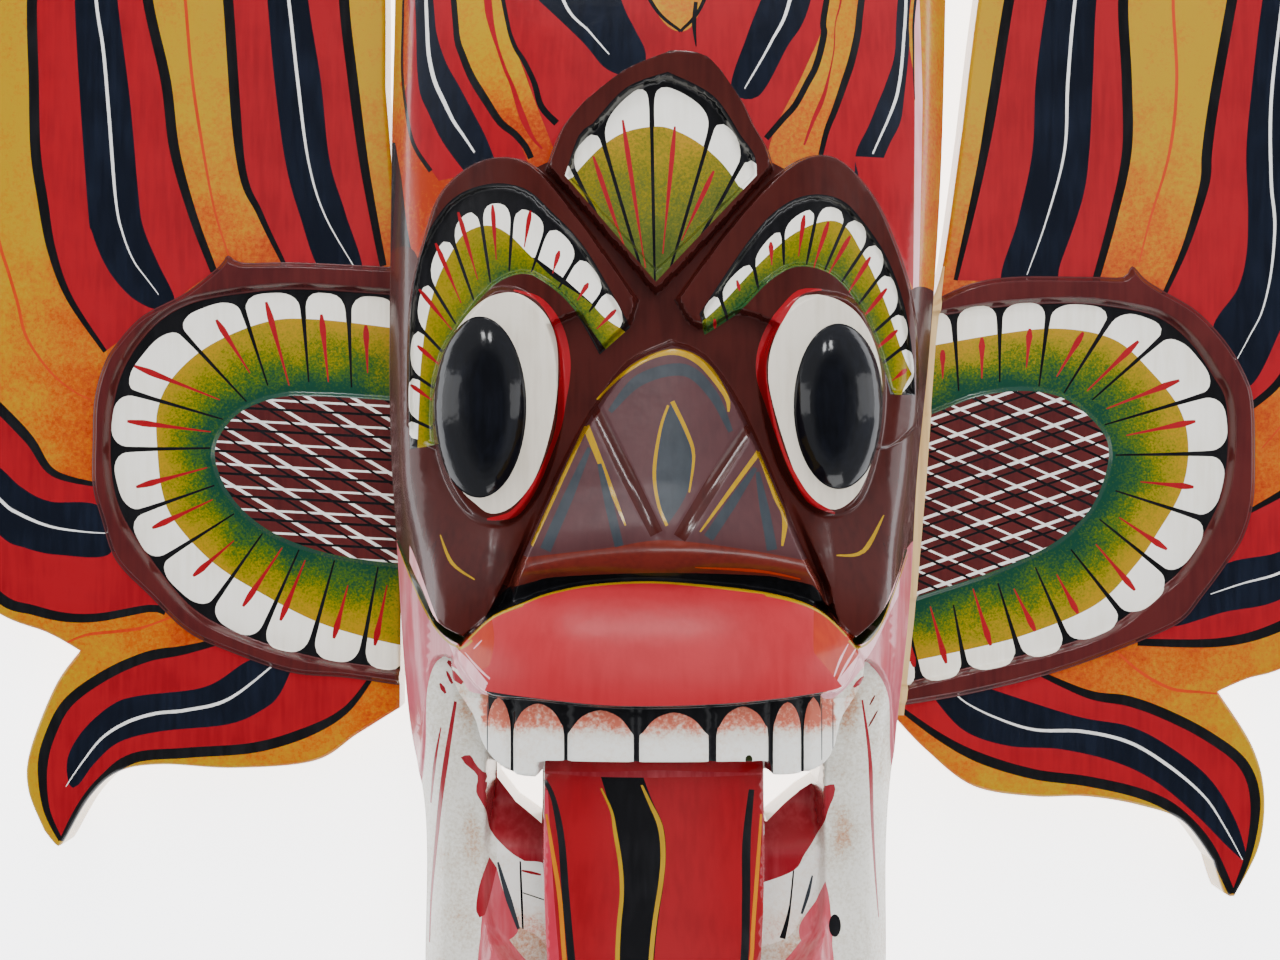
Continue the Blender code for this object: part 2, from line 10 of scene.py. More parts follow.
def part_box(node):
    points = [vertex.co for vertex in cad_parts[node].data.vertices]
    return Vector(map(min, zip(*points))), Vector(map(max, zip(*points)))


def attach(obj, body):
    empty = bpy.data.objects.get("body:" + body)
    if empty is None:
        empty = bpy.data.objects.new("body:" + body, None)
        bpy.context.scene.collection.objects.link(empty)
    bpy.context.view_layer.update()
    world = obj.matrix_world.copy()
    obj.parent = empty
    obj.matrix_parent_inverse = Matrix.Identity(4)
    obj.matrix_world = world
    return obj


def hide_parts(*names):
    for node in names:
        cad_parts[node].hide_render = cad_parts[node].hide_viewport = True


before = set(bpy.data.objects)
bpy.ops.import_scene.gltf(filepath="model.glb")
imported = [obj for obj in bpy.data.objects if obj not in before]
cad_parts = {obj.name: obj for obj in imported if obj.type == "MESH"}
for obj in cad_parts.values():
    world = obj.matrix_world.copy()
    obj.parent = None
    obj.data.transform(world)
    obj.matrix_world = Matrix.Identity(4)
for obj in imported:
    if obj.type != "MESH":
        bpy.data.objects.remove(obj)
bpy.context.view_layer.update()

# Viewpoint, floor and soft boxes.
# The mask lies on its back on a pale studio sweep, and the camera looks straight down on the face with a
# 50 mm lens. The drawing is in mm, with its zero on the face's middle line at the eyes' height.
MM = 0.001
CHIN_IN_DRAWING = -195.5
CROWN_SIDE_IN_DRAWING = -83.0
head_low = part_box("head")[0]
zero_x = head_low[0] - CROWN_SIDE_IN_DRAWING * MM
zero_y = head_low[1] - CHIN_IN_DRAWING * MM
LENS_LENGTH = 50.0
SENSOR_WIDTH = 36.0
EYE_OVER_FLOOR = 0.523
EYE_LEFT_OF_MIDDLE = 0.0055
FLOOR_REACH = 4.0
FLOOR_DROP = 0.0005
FLOOR_GLOW = 4.0
TENT_STRENGTH = 0.8
ROOM_STRENGTH = 0.1
TENT_ENDS = 0.55
ROOM_BEGINS = 0.9


def linear(hex_colour):
    """sRGB hex value as linear RGBA."""
    values = [int(hex_colour[index:index + 2], 16) / 255 for index in (0, 2, 4)]
    return tuple(v / 12.92 if v <= 0.04045 else ((v + 0.055) / 1.055) ** 2.4 for v in values) + (1.0,)


def add(tree, kind, links=None, inputs=None, **settings):
    """Add a shader node with its settings, input values and incoming links."""
    made = tree.nodes.new(kind)
    for name, value in settings.items():
        setattr(made, name, value)
    for name, value in (inputs or {}).items():
        made.inputs[name].default_value = value
    for name, (source, output) in (links or {}).items():
        tree.links.new(source.outputs[output], made.inputs[name])
    return made


camera_data = bpy.data.cameras.new("camera")
camera_data.lens = LENS_LENGTH
camera_data.sensor_width = SENSOR_WIDTH
camera = bpy.data.objects.new("camera", camera_data)
camera.location = (zero_x - EYE_LEFT_OF_MIDDLE, zero_y, EYE_OVER_FLOOR)
bpy.context.scene.collection.objects.link(camera)
bpy.context.scene.camera = camera

floor_mesh = bpy.data.meshes.new("studio_floor")
floor_corners = [(x * FLOOR_REACH, y * FLOOR_REACH, -FLOOR_DROP) for x,
                 y in ((-1, -1), (1, -1), (1, 1), (-1, 1))]
floor_mesh.from_pydata(floor_corners, [], [(0, 1, 2, 3)])
floor = bpy.data.objects.new("studio_floor", floor_mesh)
bpy.context.scene.collection.objects.link(floor)
# Matt white sweep, lit from below like a light table, so it stays near white under the mask
sweep = bpy.data.materials.new("matte_white_sweep")
sweep.use_nodes = True
sweep_shader = sweep.node_tree.nodes["Principled BSDF"]
sweep_shader.inputs["Base Color"].default_value = linear("EFEFF1")
sweep_shader.inputs["Roughness"].default_value = 0.9
sweep_shader.inputs["Emission Color"].default_value = linear("F4F5F8")
sweep_shader.inputs["Emission Strength"].default_value = FLOOR_GLOW
floor_mesh.materials.append(sweep)

# A light tent: white all round, and dark overhead around the camera, so flat paint keeps its full colour
world = bpy.data.worlds.new("studio_air")
world.use_nodes = True
world_tree = world.node_tree
direction = add(world_tree, "ShaderNodeTexCoord")
split = add(world_tree, "ShaderNodeSeparateXYZ", {"Vector": (direction, "Generated")})
tent = add(world_tree, "ShaderNodeMapRange", {"Value": (split, "Z")},
           {"From Min": TENT_ENDS, "From Max": ROOM_BEGINS, "To Min": TENT_STRENGTH, "To Max": ROOM_STRENGTH},
           interpolation_type="SMOOTHSTEP")
backdrop = world_tree.nodes["Background"]
backdrop.inputs["Color"].default_value = linear("F2F4F8")
world_tree.links.new(tent.outputs["Result"], backdrop.inputs["Strength"])
bpy.context.scene.world = world


def soft_box(name, place, aim, width, height, watts):
    """A rectangular soft box that faces a point, with its sizes in metres."""
    light = bpy.data.lights.new(name, "AREA")
    light.shape = "RECTANGLE"
    light.size = width
    light.size_y = height
    light.energy = watts
    lamp = bpy.data.objects.new(name, light)
    lamp.location = place
    lamp.rotation_euler = (Vector(aim) - Vector(place)).to_track_quat("-Z", "Y").to_euler()
    bpy.context.scene.collection.objects.link(lamp)


# Two window-like boxes give the glints, and the three low ones lift the edges
NEAR_FACE = (0.0, 0.0, 0.05)
soft_box("window_crown_left", (-0.30, 0.95, 0.80), NEAR_FACE, 0.14, 0.22, 3.0)
soft_box("window_crown_right", (0.05, 0.95, 0.80), NEAR_FACE, 0.14, 0.22, 3.0)
soft_box("soft_box_chin", (0.25, -1.1, 0.45), (0.0, -0.05, 0.05), 0.7, 0.3, 3.0)
soft_box("soft_box_left", (-1.1, 0.1, 0.4), NEAR_FACE, 0.4, 0.9, 3.0)
soft_box("soft_box_right", (1.1, 0.1, 0.4), NEAR_FACE, 0.4, 0.9, 3.0)
# The main light is a wide panel overhead, polarised so that its own gloss on the varnish isn't seen
soft_box("overhead_panel", (0.15, 0.5, 1.6), (0.0, 0.0, 0.0), 1.4, 1.4, 38.0)
bpy.data.objects["overhead_panel"].visible_glossy = False

# The two flat ear boards.
# Each is a sawn board of light kaduru wood, 12 mm thick, its ear frame carved proud and the rest painted
# with brushed enamel. A tab on its inner edge sits in a slot of the head's side wall.
BOARD_FRONT = 24.5
BOARD_BACK = 12.5
BOARD_EDGE_ROUNDING = 1.2
CURVE_STEP = 1.4
LONGEST_EDGE = 2.5
MERGE_DISTANCE = 0.01
NORMAL_NUDGE = 0.05
ON_FRONT = 0.02


def smooth(share):
    """Ease from 0 to 1 with level ends."""
    share = np.clip(share, 0.0, 1.0)
    return share * share * (3.0 - 2.0 * share)


def curve(path, step=CURVE_STEP):
    """Smooth curve through the points of a path, both ends included."""
    ends = [path[0]] + list(path) + [path[-1]]
    points = []
    for a, b, c, d in zip(ends, ends[1:], ends[2:], ends[3:]):
        count = max(1, round(math.dist(b, c) / step))
        for index in range(count):
            t = index / count
            points.append(tuple(
                0.5 * (2 * q + (r - p) * t + (2 * p - 5 * q + 4 * r - s) * t * t
                       + (3 * q - p - 3 * r + s) * t ** 3)
                for p, q, r, s in zip(a, b, c, d)))
    return points + [tuple(path[-1])]


def closed(*spans):
    """One closed outline from smooth spans that meet in corners."""
    return [point for span in spans for point in curve(span)[:-1]]


def moved_out(loop, distance):
    """The outline moved outwards by a distance, each point along its own normal."""
    points = np.array(loop)
    before, after = np.roll(points, 1, axis=0), np.roll(points, -1, axis=0)
    area = np.sum(points[:, 0] * after[:, 1] - after[:, 0] * points[:, 1])
    along = after - before
    along /= np.maximum(np.linalg.norm(along, axis=1, keepdims=True), 1e-9)
    normal = np.stack([along[:, 1], -along[:, 0]], axis=1) * (1.0 if area > 0 else -1.0)
    return [tuple(point) for point in points + normal * distance]


def stroke(path, *widths):
    """Outline of one brush stroke along a smooth path, with its widths at even steps from start to end."""
    points = np.array(curve(path))
    along = np.gradient(points, axis=0)
    along /= np.maximum(np.linalg.norm(along, axis=1, keepdims=True), 1e-9)
    half = np.interp(np.linspace(0, 1, len(points)), np.linspace(0, 1, len(widths)), widths)[:, None] / 2
    normal = np.stack([-along[:, 1], along[:, 0]], axis=1)
    left, right = points + normal * half, points - normal * half
    return [tuple(point) for point in np.concatenate([left, right[::-1]])]


def inside(points, loop):
    """Which points lie inside an outline."""
    ring = np.array(loop)
    found = np.zeros(len(points), dtype=bool)
    low, high = ring.min(axis=0), ring.max(axis=0)
    near = np.nonzero(np.all((points >= low) & (points <= high), axis=1))[0]
    if len(near) == 0:
        return found
    x, y = points[near, 0], points[near, 1]
    odd = np.zeros(len(near), dtype=bool)
    for (ax, ay), (bx, by) in zip(ring, np.roll(ring, -1, axis=0)):
        crosses = (ay > y) != (by > y)
        if by != ay:
            odd ^= crosses & (x < ax + (y - ay) / (by - ay) * (bx - ax))
    found[near] = odd
    return found


def depth_inside(points, loop, reach=None):
    """Distance to an outline, positive inside it. Past the reach, if one is given, the value stays at it."""
    ring = np.array(loop)
    result = np.full(len(points), 1e9)
    chosen = np.arange(len(points))
    if reach is not None:
        low, high = ring.min(axis=0) - reach, ring.max(axis=0) + reach
        chosen = np.nonzero(np.all((points > low) & (points < high), axis=1))[0]
        result[:] = reach
    nearest = np.full(len(chosen), 1e9)
    x, y = points[chosen, 0], points[chosen, 1]
    for (ax, ay), (bx, by) in zip(ring, np.roll(ring, -1, axis=0)):
        dx, dy = bx - ax, by - ay
        length = dx * dx + dy * dy
        if length == 0:
            continue
        t = np.clip(((x - ax) * dx + (y - ay) * dy) / length, 0.0, 1.0)
        nearest = np.minimum(nearest, (x - ax - t * dx) ** 2 + (y - ay - t * dy) ** 2)
    result[chosen] = np.sqrt(nearest) if reach is None else np.minimum(np.sqrt(nearest), reach)
    return np.where(inside(points, loop), result, -result)


def grid_inside(outline, step, margin):
    """Points of a staggered grid inside an outline, clear of its edge."""
    low, high = np.min(outline, axis=0), np.max(outline, axis=0)
    rows = np.arange(low[1], high[1], step * 0.87)
    points = [(x + (step / 2 if index % 2 else 0.0), y)
              for index, y in enumerate(rows) for x in np.arange(low[0], high[0], step)]
    points = np.array(points)
    return points[depth_inside(points, outline) > margin]


def finely_cut(loop):
    """The same outline with points added where two are far apart, so that it can follow a curved surface."""
    points = []
    for start, end in zip(loop, list(loop[1:]) + [loop[0]]):
        count = max(1, math.ceil(math.dist(start, end) / LONGEST_EDGE))
        points += [tuple(a + (b - a) * index / count for a, b in zip(start, end)) for index in range(count)]
    return points


def cut_out(piece, cutters):
    """Cut hidden solids from a piece and keep the result as its mesh."""
    for solid in cutters:
        bpy.context.scene.collection.objects.link(solid)
        cut = piece.modifiers.new(solid.name, "BOOLEAN")
        cut.operation = "DIFFERENCE"
        cut.solver = "MANIFOLD"
        cut.object = solid
    graph = bpy.context.evaluated_depsgraph_get()
    result = bpy.data.meshes.new_from_object(piece.evaluated_get(graph), preserve_all_data_layers=True,
                                             depsgraph=graph)
    piece.modifiers.clear()
    piece.data = result
    for solid in cutters:
        bpy.data.objects.remove(solid)


def follow_form(mesh, height, form):
    """Give the front the normals of its true curved form, so that the gloss runs smoothly over it."""
    count = len(mesh.vertices)
    places = np.empty(count * 3)
    mesh.vertices.foreach_get("co", places)
    places = (places.reshape(-1, 3) - np.array([zero_x, zero_y, 0.0])) / MM
    flat = places[:, :2]
    step = NORMAL_NUDGE
    slope_x = (form(flat + (step, 0)) - form(flat - (step, 0))) / (2 * step)
    slope_y = (form(flat + (0, step)) - form(flat - (0, step))) / (2 * step)
    on_front = np.abs(height(flat) - places[:, 2]) < ON_FRONT
    normals = np.stack([-slope_x, -slope_y, np.ones(count)], axis=1)
    normals /= np.linalg.norm(normals, axis=1, keepdims=True)
    corner_normals = []
    for polygon in mesh.polygons:
        front = polygon.normal.z > 0.0 and all(on_front[vertex] for vertex in polygon.vertices)
        for vertex in polygon.vertices:
            corner_normals.append(tuple(normals[vertex]) if front else tuple(polygon.normal))
    mesh.normals_split_custom_set(corner_normals)


def carved_piece(name, outline, layers, height, back, spots, side_finish, tints, creases, cutters=(),
                 gloss_form=None):
    """A closed carved piece: its front is cut along every painted edge, so each colour ends where it should.

    layers are (finish, outline) or (finish, outline, limit), painted one over the other.
    """
    points, edges = [], []
    edge_loops = [moved_out(outline, -BOARD_EDGE_ROUNDING * share) for share in (0.35, 1.0)]
    for loop in [outline] + edge_loops + creases + [layer[1] for layer in layers]:
        loop = finely_cut(loop)
        start = len(points)
        points += [Vector(point) for point in loop]
        edges += [(start + index, start + (index + 1) % len(loop)) for index in range(len(loop))]
    points += [Vector(point) for point in spots]
    vertices, _, faces, _, _, _ = delaunay_2d_cdt(points, edges, [], 0, MERGE_DISTANCE)
    flat = np.array([tuple(v) for v in vertices])
    faces = np.array(faces)
    middles = flat[faces].mean(axis=1)
    keep = inside(middles, outline)
    faces, middles = faces[keep], middles[keep]
    used = np.unique(faces)
    place = np.full(len(flat), -1)
    place[used] = np.arange(len(used))
    flat, faces = flat[used], place[faces]

    finishes = []
    chosen = np.zeros(len(faces), dtype=int)
    for layer in layers:
        finish, loop = layer[0], layer[1]
        if finish not in finishes:
            finishes.append(finish)
        hit = inside(middles, loop)
        if len(layer) > 2:
            hit &= inside(middles, layer[2])
        chosen[hit] = finishes.index(finish)

    z = height(flat)
    pairs = np.concatenate([faces[:, [0, 1]], faces[:, [1, 2]], faces[:, [2, 0]]])
    keys = {(a, b) for a, b in pairs.tolist()}
    rim = [(a, b) for a, b in keys if (b, a) not in keys]
    rim_points = sorted({a for edge in rim for a in edge})
    low_index = {point: len(flat) + index for index, point in enumerate(rim_points)}
    low_flat = flat[rim_points]
    all_points = np.concatenate([
        np.column_stack([flat, z]), np.column_stack([low_flat, np.full(len(low_flat), back)])])
    after = dict(rim)
    walls = [(b, a, low_index[a], low_index[b]) for a, b in rim]
    start = rim[0][0]
    ring = [start]
    while after[ring[-1]] != start:
        ring.append(after[ring[-1]])
    bottom = [low_index[point] for point in reversed(ring)]
    mesh = bpy.data.meshes.new(name)
    world_points = all_points * MM + np.array([zero_x, zero_y, 0.0])
    all_faces = [tuple(face) for face in faces.tolist()] + walls + [tuple(bottom)]
    mesh.from_pydata(world_points.tolist(), [], all_faces)
    for finish in finishes + [side_finish, bare_wood]:
        mesh.materials.append(finish)
    material_index = chosen.tolist() + [len(finishes)] * len(walls) + [len(finishes) + 1]
    mesh.polygons.foreach_set("material_index", material_index)
    mesh.polygons.foreach_set("use_smooth", [True] * (len(all_faces) - 1) + [False])
    for tint, values in tints(flat).items():
        spread = mesh.attributes.new(tint, "FLOAT", "POINT")
        spread.data.foreach_set("value", np.concatenate([values, np.zeros(len(low_flat))]).tolist())
    piece = bpy.data.objects.new(name, mesh)
    bpy.context.scene.collection.objects.link(piece)
    if cutters:
        cut_out(piece, cutters)
    follow_form(piece.data, height, gloss_form or height)
    return piece


def enamel(name, body, thin, roughness=0.2, streak=1.0, coat=0.25):
    """Hand-brushed gloss enamel: a body colour that thins along the brush marks, over slightly wavy wood."""
    finish = bpy.data.materials.new(name)
    finish.use_nodes = True
    tree = finish.node_tree
    shader = tree.nodes["Principled BSDF"]
    place = add(tree, "ShaderNodeTexCoord")
    # Brush marks run up the board, about 1.5 mm wide and 20 mm long
    drawn_out = add(tree, "ShaderNodeMapping", {"Vector": (place, "Object")}, {"Scale": (650.0, 60.0, 650.0)})
    marks = add(tree, "ShaderNodeTexNoise", {"Vector": (drawn_out, "Vector")}, {"Scale": 1.0, "Detail": 3.0})
    # Patches of thinner paint, about 15 mm wide
    patches = add(tree, "ShaderNodeTexNoise", {"Vector": (place, "Object")}, {"Scale": 70.0, "Detail": 2.0})
    both = add(tree, "ShaderNodeMath", {0: (marks, "Fac"), 1: (patches, "Fac")}, operation="MULTIPLY")
    share = add(tree, "ShaderNodeMapRange", {"Value": (both, "Value")},
                {"From Min": 0.18, "From Max": 0.40, "To Min": 0.0, "To Max": 0.75 * streak})
    colour = add(tree, "ShaderNodeMix", {"Factor": (share, "Result")}, data_type="RGBA")
    colour.inputs[6].default_value = linear(body)
    colour.inputs[7].default_value = linear(thin)
    tree.links.new(colour.outputs[2], shader.inputs["Base Color"])
    # Tool marks under the paint, about 5 mm wide, and the brush marks on it
    tool_marks = add(tree, "ShaderNodeTexNoise", {"Vector": (place, "Object")},
                     {"Scale": 190.0, "Detail": 2.0})
    wave = add(tree, "ShaderNodeBump", {"Height": (tool_marks, "Fac")},
               {"Strength": 0.35, "Distance": 0.0004})
    brushed = add(tree, "ShaderNodeBump", {"Height": (marks, "Fac"), "Normal": (wave, "Normal")},
                  {"Strength": 0.25, "Distance": 0.00005})
    tree.links.new(brushed.outputs["Normal"], shader.inputs["Normal"])
    shader.inputs["Roughness"].default_value = roughness
    shader.inputs["Specular IOR Level"].default_value = 0.3
    shader.inputs["Coat Weight"].default_value = coat
    shader.inputs["Coat Roughness"].default_value = 0.08
    return finish


def sponged(name, tint, stops, grain_mm, roughness=0.25):
    """Enamel dabbed wet in wet: one colour passes into the next in specks, led by a tint on the mesh."""
    finish = enamel(name, stops[0][1], stops[0][1], roughness)
    tree = finish.node_tree
    shader = tree.nodes["Principled BSDF"]
    amount = add(tree, "ShaderNodeAttribute", attribute_name=tint)
    place = add(tree, "ShaderNodeTexCoord")
    specks = add(tree, "ShaderNodeTexNoise", {"Vector": (place, "Object")},
                 {"Scale": 1000.0 / grain_mm, "Detail": 3.0, "Roughness": 0.7})
    clouds = add(tree, "ShaderNodeTexNoise", {"Vector": (place, "Object")}, {"Scale": 90.0, "Detail": 2.0})
    spread = add(tree, "ShaderNodeMapRange", {"Value": (specks, "Fac")},
                 {"From Min": 0.3, "From Max": 0.7, "To Min": -0.28, "To Max": 0.28})
    drift = add(tree, "ShaderNodeMapRange", {"Value": (clouds, "Fac")},
                {"From Min": 0.3, "From Max": 0.7, "To Min": -0.16, "To Max": 0.16})
    mixed = add(tree, "ShaderNodeMath", {0: (spread, "Result"), 1: (drift, "Result")}, operation="ADD")
    where = add(tree, "ShaderNodeMath", {0: (mixed, "Value"), 1: (amount, "Fac")}, operation="ADD")
    ramp = add(tree, "ShaderNodeValToRGB", {"Fac": (where, "Value")})
    while len(ramp.color_ramp.elements) < len(stops):
        ramp.color_ramp.elements.new(0.5)
    for element, (position, shade) in zip(ramp.color_ramp.elements, stops):
        element.position = position
        element.color = linear(shade)
    tree.links.new(ramp.outputs["Color"], shader.inputs["Base Color"])
    return finish


# Brushed oil enamels, thick and glossy. The reds are deep and even, a little darker where the brush dragged
signal_red = enamel("signal_red_enamel", "8E0E1A", "780C16")
drop_red = enamel("drop_red_enamel", "8E0C18", "800A14")
vermilion_line = enamel("vermilion_line_enamel", "B4330C", "A02808")
# The darks: a cool black for outlines, a navy for the flames' cores and a brown maroon for the ears
outline_black = enamel("outline_black_enamel", "0E0E10", "19191C")
night_navy = enamel("night_navy_enamel", "0C101A", "141A28")
ear_maroon = enamel("ear_maroon_enamel", "4C1C1C", "3A1416")
# The whites: thin white lines, and creamier petals that let some wood through
line_white = enamel("line_white_enamel", "E4E4E2", "C8C8C6")
petal_white = enamel("petal_white_enamel", "F2EFE6", "E2DDD0")
# Sponged enamels, dabbed wet in wet: yellow to orange on the grounds, and yellow to dark green on the bands
flame_ground = sponged("sponged_flame_enamel", "warmth",
                       [(0.0, "A27E00"), (0.3, "A66C00"), (0.62, "A84C00"), (1.0, "942804")], 1.0)
leaf_band = sponged("sponged_leaf_enamel", "leaf",
                    [(0.0, "967400"), (0.3, "786C00"), (0.62, "365408"), (0.95, "083628")], 0.6)

# Bare kaduru wood: pale, straight grained and matt, with fine darker pores along the grain
bare_wood = bpy.data.materials.new("bare_kaduru_wood")
bare_wood.use_nodes = True
wood_tree = bare_wood.node_tree
wood_place = add(wood_tree, "ShaderNodeTexCoord")
wood_long = add(wood_tree, "ShaderNodeMapping", {"Vector": (wood_place, "Object")},
                {"Scale": (420.0, 12.0, 420.0)})
wood_grain = add(wood_tree, "ShaderNodeTexNoise", {"Vector": (wood_long, "Vector")},
                 {"Scale": 1.0, "Detail": 6.0})
wood_ramp = add(wood_tree, "ShaderNodeValToRGB", {"Fac": (wood_grain, "Fac")})
wood_ramp.color_ramp.elements[0].position = 0.3
wood_ramp.color_ramp.elements[0].color = linear("B8935E")
wood_ramp.color_ramp.elements[1].position = 0.7
wood_ramp.color_ramp.elements[1].color = linear("E0C493")
wood_shader = wood_tree.nodes["Principled BSDF"]
wood_tree.links.new(wood_ramp.outputs["Color"], wood_shader.inputs["Base Color"])
wood_bump = add(wood_tree, "ShaderNodeBump", {"Height": (wood_grain, "Fac")},
                {"Strength": 0.4, "Distance": 0.0003})
wood_tree.links.new(wood_bump.outputs["Normal"], wood_shader.inputs["Normal"])
wood_shader.inputs["Roughness"].default_value = 0.75

OUTLINE_WIDTH = 2.9
FINE_LINE = 0.9


def flame(left, right, core_left, core_right, white):
    """Painted layers of one flame: a red body, a navy core with a white line, and black outlines."""
    return [
        (signal_red, curve(left) + curve(right)[::-1]),
        (night_navy, curve(core_left + core_right)),
        (line_white, stroke(white, 0.3, FINE_LINE, FINE_LINE, 0.2)),
        (outline_black, stroke(left, 1.2, OUTLINE_WIDTH, OUTLINE_WIDTH, OUTLINE_WIDTH, 1.2)),
        (outline_black, stroke(right, 1.2, OUTLINE_WIDTH, OUTLINE_WIDTH, OUTLINE_WIDTH, 2.0)),
    ]


def between(start, end, share):
    """A point that lies a share of the way from one point to another."""
    return tuple(a + (b - a) * share for a, b in zip(start, end))


PETAL_GAP = 0.7
CORE_LINE = 1.6
HATCH_REACH = 45.0
HATCHES_EACH_WAY = 7


def petal_outline(edge_a, edge_b, places):
    """Smooth outline of a petal, from places given as shares across it and down its two edges."""
    (outer_a, inner_a), (outer_b, inner_b) = edge_a, edge_b
    return curve([between(between(outer_a, inner_a, down), between(outer_b, inner_b, down), across)
                  for across, down in places])


def ear(outer_loop, inner_loop, band_loop, oval_loop, separators, drops, hatches):
    """Painted layers of an ear: frame, petals with red drops, sponged band and a hatched core."""
    layers = [(ear_maroon, outer_loop), (outline_black, inner_loop)]
    for (outer_a, inner_a), (outer_b, inner_b) in zip(separators, separators[1:]):
        gap = PETAL_GAP / max(math.dist(outer_a, outer_b), 1.0)
        shoulder = gap * 1.5 + 0.01
        places = ((gap, 0.62), (gap * 1.1, 0.28), (shoulder, 0.08), (0.24, -0.02), (0.5, -0.04),
                  (0.76, -0.02), (1 - shoulder, 0.08), (1 - gap * 1.1, 0.28), (1 - gap, 0.62))
        layers.append((petal_white, petal_outline((outer_a, inner_a), (outer_b, inner_b), places)))
    layers.append((leaf_band, band_loop))
    for outer, inner in separators[1:-1]:
        layers.append((outline_black, stroke([outer, inner], 2.2, 1.2, 0.7, 0.4), inner_loop))
    for outer, inner in drops:
        layers.append((drop_red, stroke([outer, inner], 0.7, 1.9, 1.0, 0.6, 0.3)))
    core_loop = moved_out(oval_loop, -CORE_LINE)
    layers += [(leaf_band, oval_loop), (ear_maroon, core_loop)]
    middle = np.mean(oval_loop, axis=0)
    for finish, angle, spacing, width, offset in hatches:
        along = np.array([math.cos(math.radians(angle)), math.sin(math.radians(angle))])
        across = np.array([-along[1], along[0]])
        for index in range(-HATCHES_EACH_WAY, HATCHES_EACH_WAY + 1):
            start = middle + across * (index * spacing + offset) - along * HATCH_REACH
            end = middle + across * (index * spacing + offset) + along * HATCH_REACH
            layers.append((finish, stroke([tuple(start), tuple(end)], width, width), core_loop))
    return layers


TAB_LENGTH = 44.0
TAB_REACH = 20.0
EAR_SLOPE = 1.8
EAR_FRAME_RISE = 2.1
EAR_FIELD_DEPTH = 0.7
EAR_CORE_RISE = 0.9
LOOP_REACH = 6.0
PAINT_OVERLAP = 5.0
WARM_REACH = 55.0
WARMEST = 0.72


def tab_directions(lean, side):
    """Unit steps into the head and up the board, for a board that leans by an angle."""
    inwards = np.array([math.cos(lean), -math.sin(lean)]) * -side
    upwards = np.array([math.sin(lean) * side, math.cos(lean)])
    return inwards, upwards


def tab(root, lean, side):
    """The tab on a board's inner edge, from its lower outer corner round to its upper one."""
    inwards, upwards = tab_directions(lean, side)
    root = np.array(root)
    low, high = root - upwards * TAB_LENGTH / 2, root + upwards * TAB_LENGTH / 2
    return [tuple(low), tuple(low + inwards * TAB_REACH), tuple(high + inwards * TAB_REACH), tuple(high)]


def ear_board(name, spans, tab_loop, flames, thin_lines, ear_lines, separators, drops, hatches,
              bare_strip=()):
    """One board, its ear frame carved proud of the flat and its core slightly raised."""
    outline = closed(*spans) + [spans[-1][-1]] + tab_loop[::-1]
    outer_loop, inner_loop, band_loop, oval_loop = (curve(path) for path in ear_lines)
    layers = [(flame_ground, moved_out(outline, PAINT_OVERLAP))]
    for lines in flames:
        layers += flame(*lines)
    for line in thin_lines:
        layers.append((vermilion_line, stroke(line, 0.4, FINE_LINE, FINE_LINE, 0.4)))
    layers += ear(outer_loop, inner_loop, band_loop, oval_loop, separators, drops, hatches)
    if bare_strip:
        layers.append((bare_wood, bare_strip))
    layers.append((bare_wood, tab_loop))

    def height(points):
        to_frame = depth_inside(points, outer_loop, LOOP_REACH) / EAR_SLOPE
        to_field = depth_inside(points, inner_loop, LOOP_REACH) / EAR_SLOPE
        to_core = depth_inside(points, oval_loop, LOOP_REACH) / EAR_SLOPE
        rise = EAR_FRAME_RISE * smooth(to_frame) * smooth(-to_field)
        rise = rise - EAR_FIELD_DEPTH * smooth(to_field + 1.0) + EAR_CORE_RISE * smooth(to_core)
        z = BOARD_FRONT + rise * smooth(-depth_inside(points, tab_loop, LOOP_REACH) / EAR_SLOPE)
        fall = BOARD_EDGE_ROUNDING - np.clip(depth_inside(points, outline, 4.0), 0.0, BOARD_EDGE_ROUNDING)
        return z - BOARD_EDGE_ROUNDING + np.sqrt(np.maximum(BOARD_EDGE_ROUNDING ** 2 - fall ** 2, 0.0))

    def tints(points):
        """The ground is warm near the ear, and the band is green near the core."""
        to_ear = -depth_inside(points, outer_loop)
        in_band = np.maximum(depth_inside(points, band_loop), 0.0)
        to_oval = np.maximum(-depth_inside(points, oval_loop), 0.0)
        return {"warmth": np.clip(1.0 - to_ear / WARM_REACH, 0.0, 1.0) ** 1.3 * WARMEST,
                "leaf": in_band / np.maximum(in_band + to_oval, 0.01)}

    creases = [moved_out(outer_loop, -share * EAR_SLOPE) for share in (0.0, 0.25, 0.5, 0.75, 1.0)]
    creases += [moved_out(inner_loop, share * EAR_SLOPE) for share in (-1.0, -0.5, 0.0, 0.25, 0.5, 0.75, 1.0)]
    creases += [moved_out(oval_loop, -share * EAR_SLOPE) for share in (0.0, 0.5, 1.0)]
    creases.append(moved_out(tab_loop, EAR_SLOPE))
    board = carved_piece(name, outline, layers, height, BOARD_BACK, grid_inside(outline, 3.0, 1.5),
                         flame_ground, tints, creases)
    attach(board, "root")
    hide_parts(name)


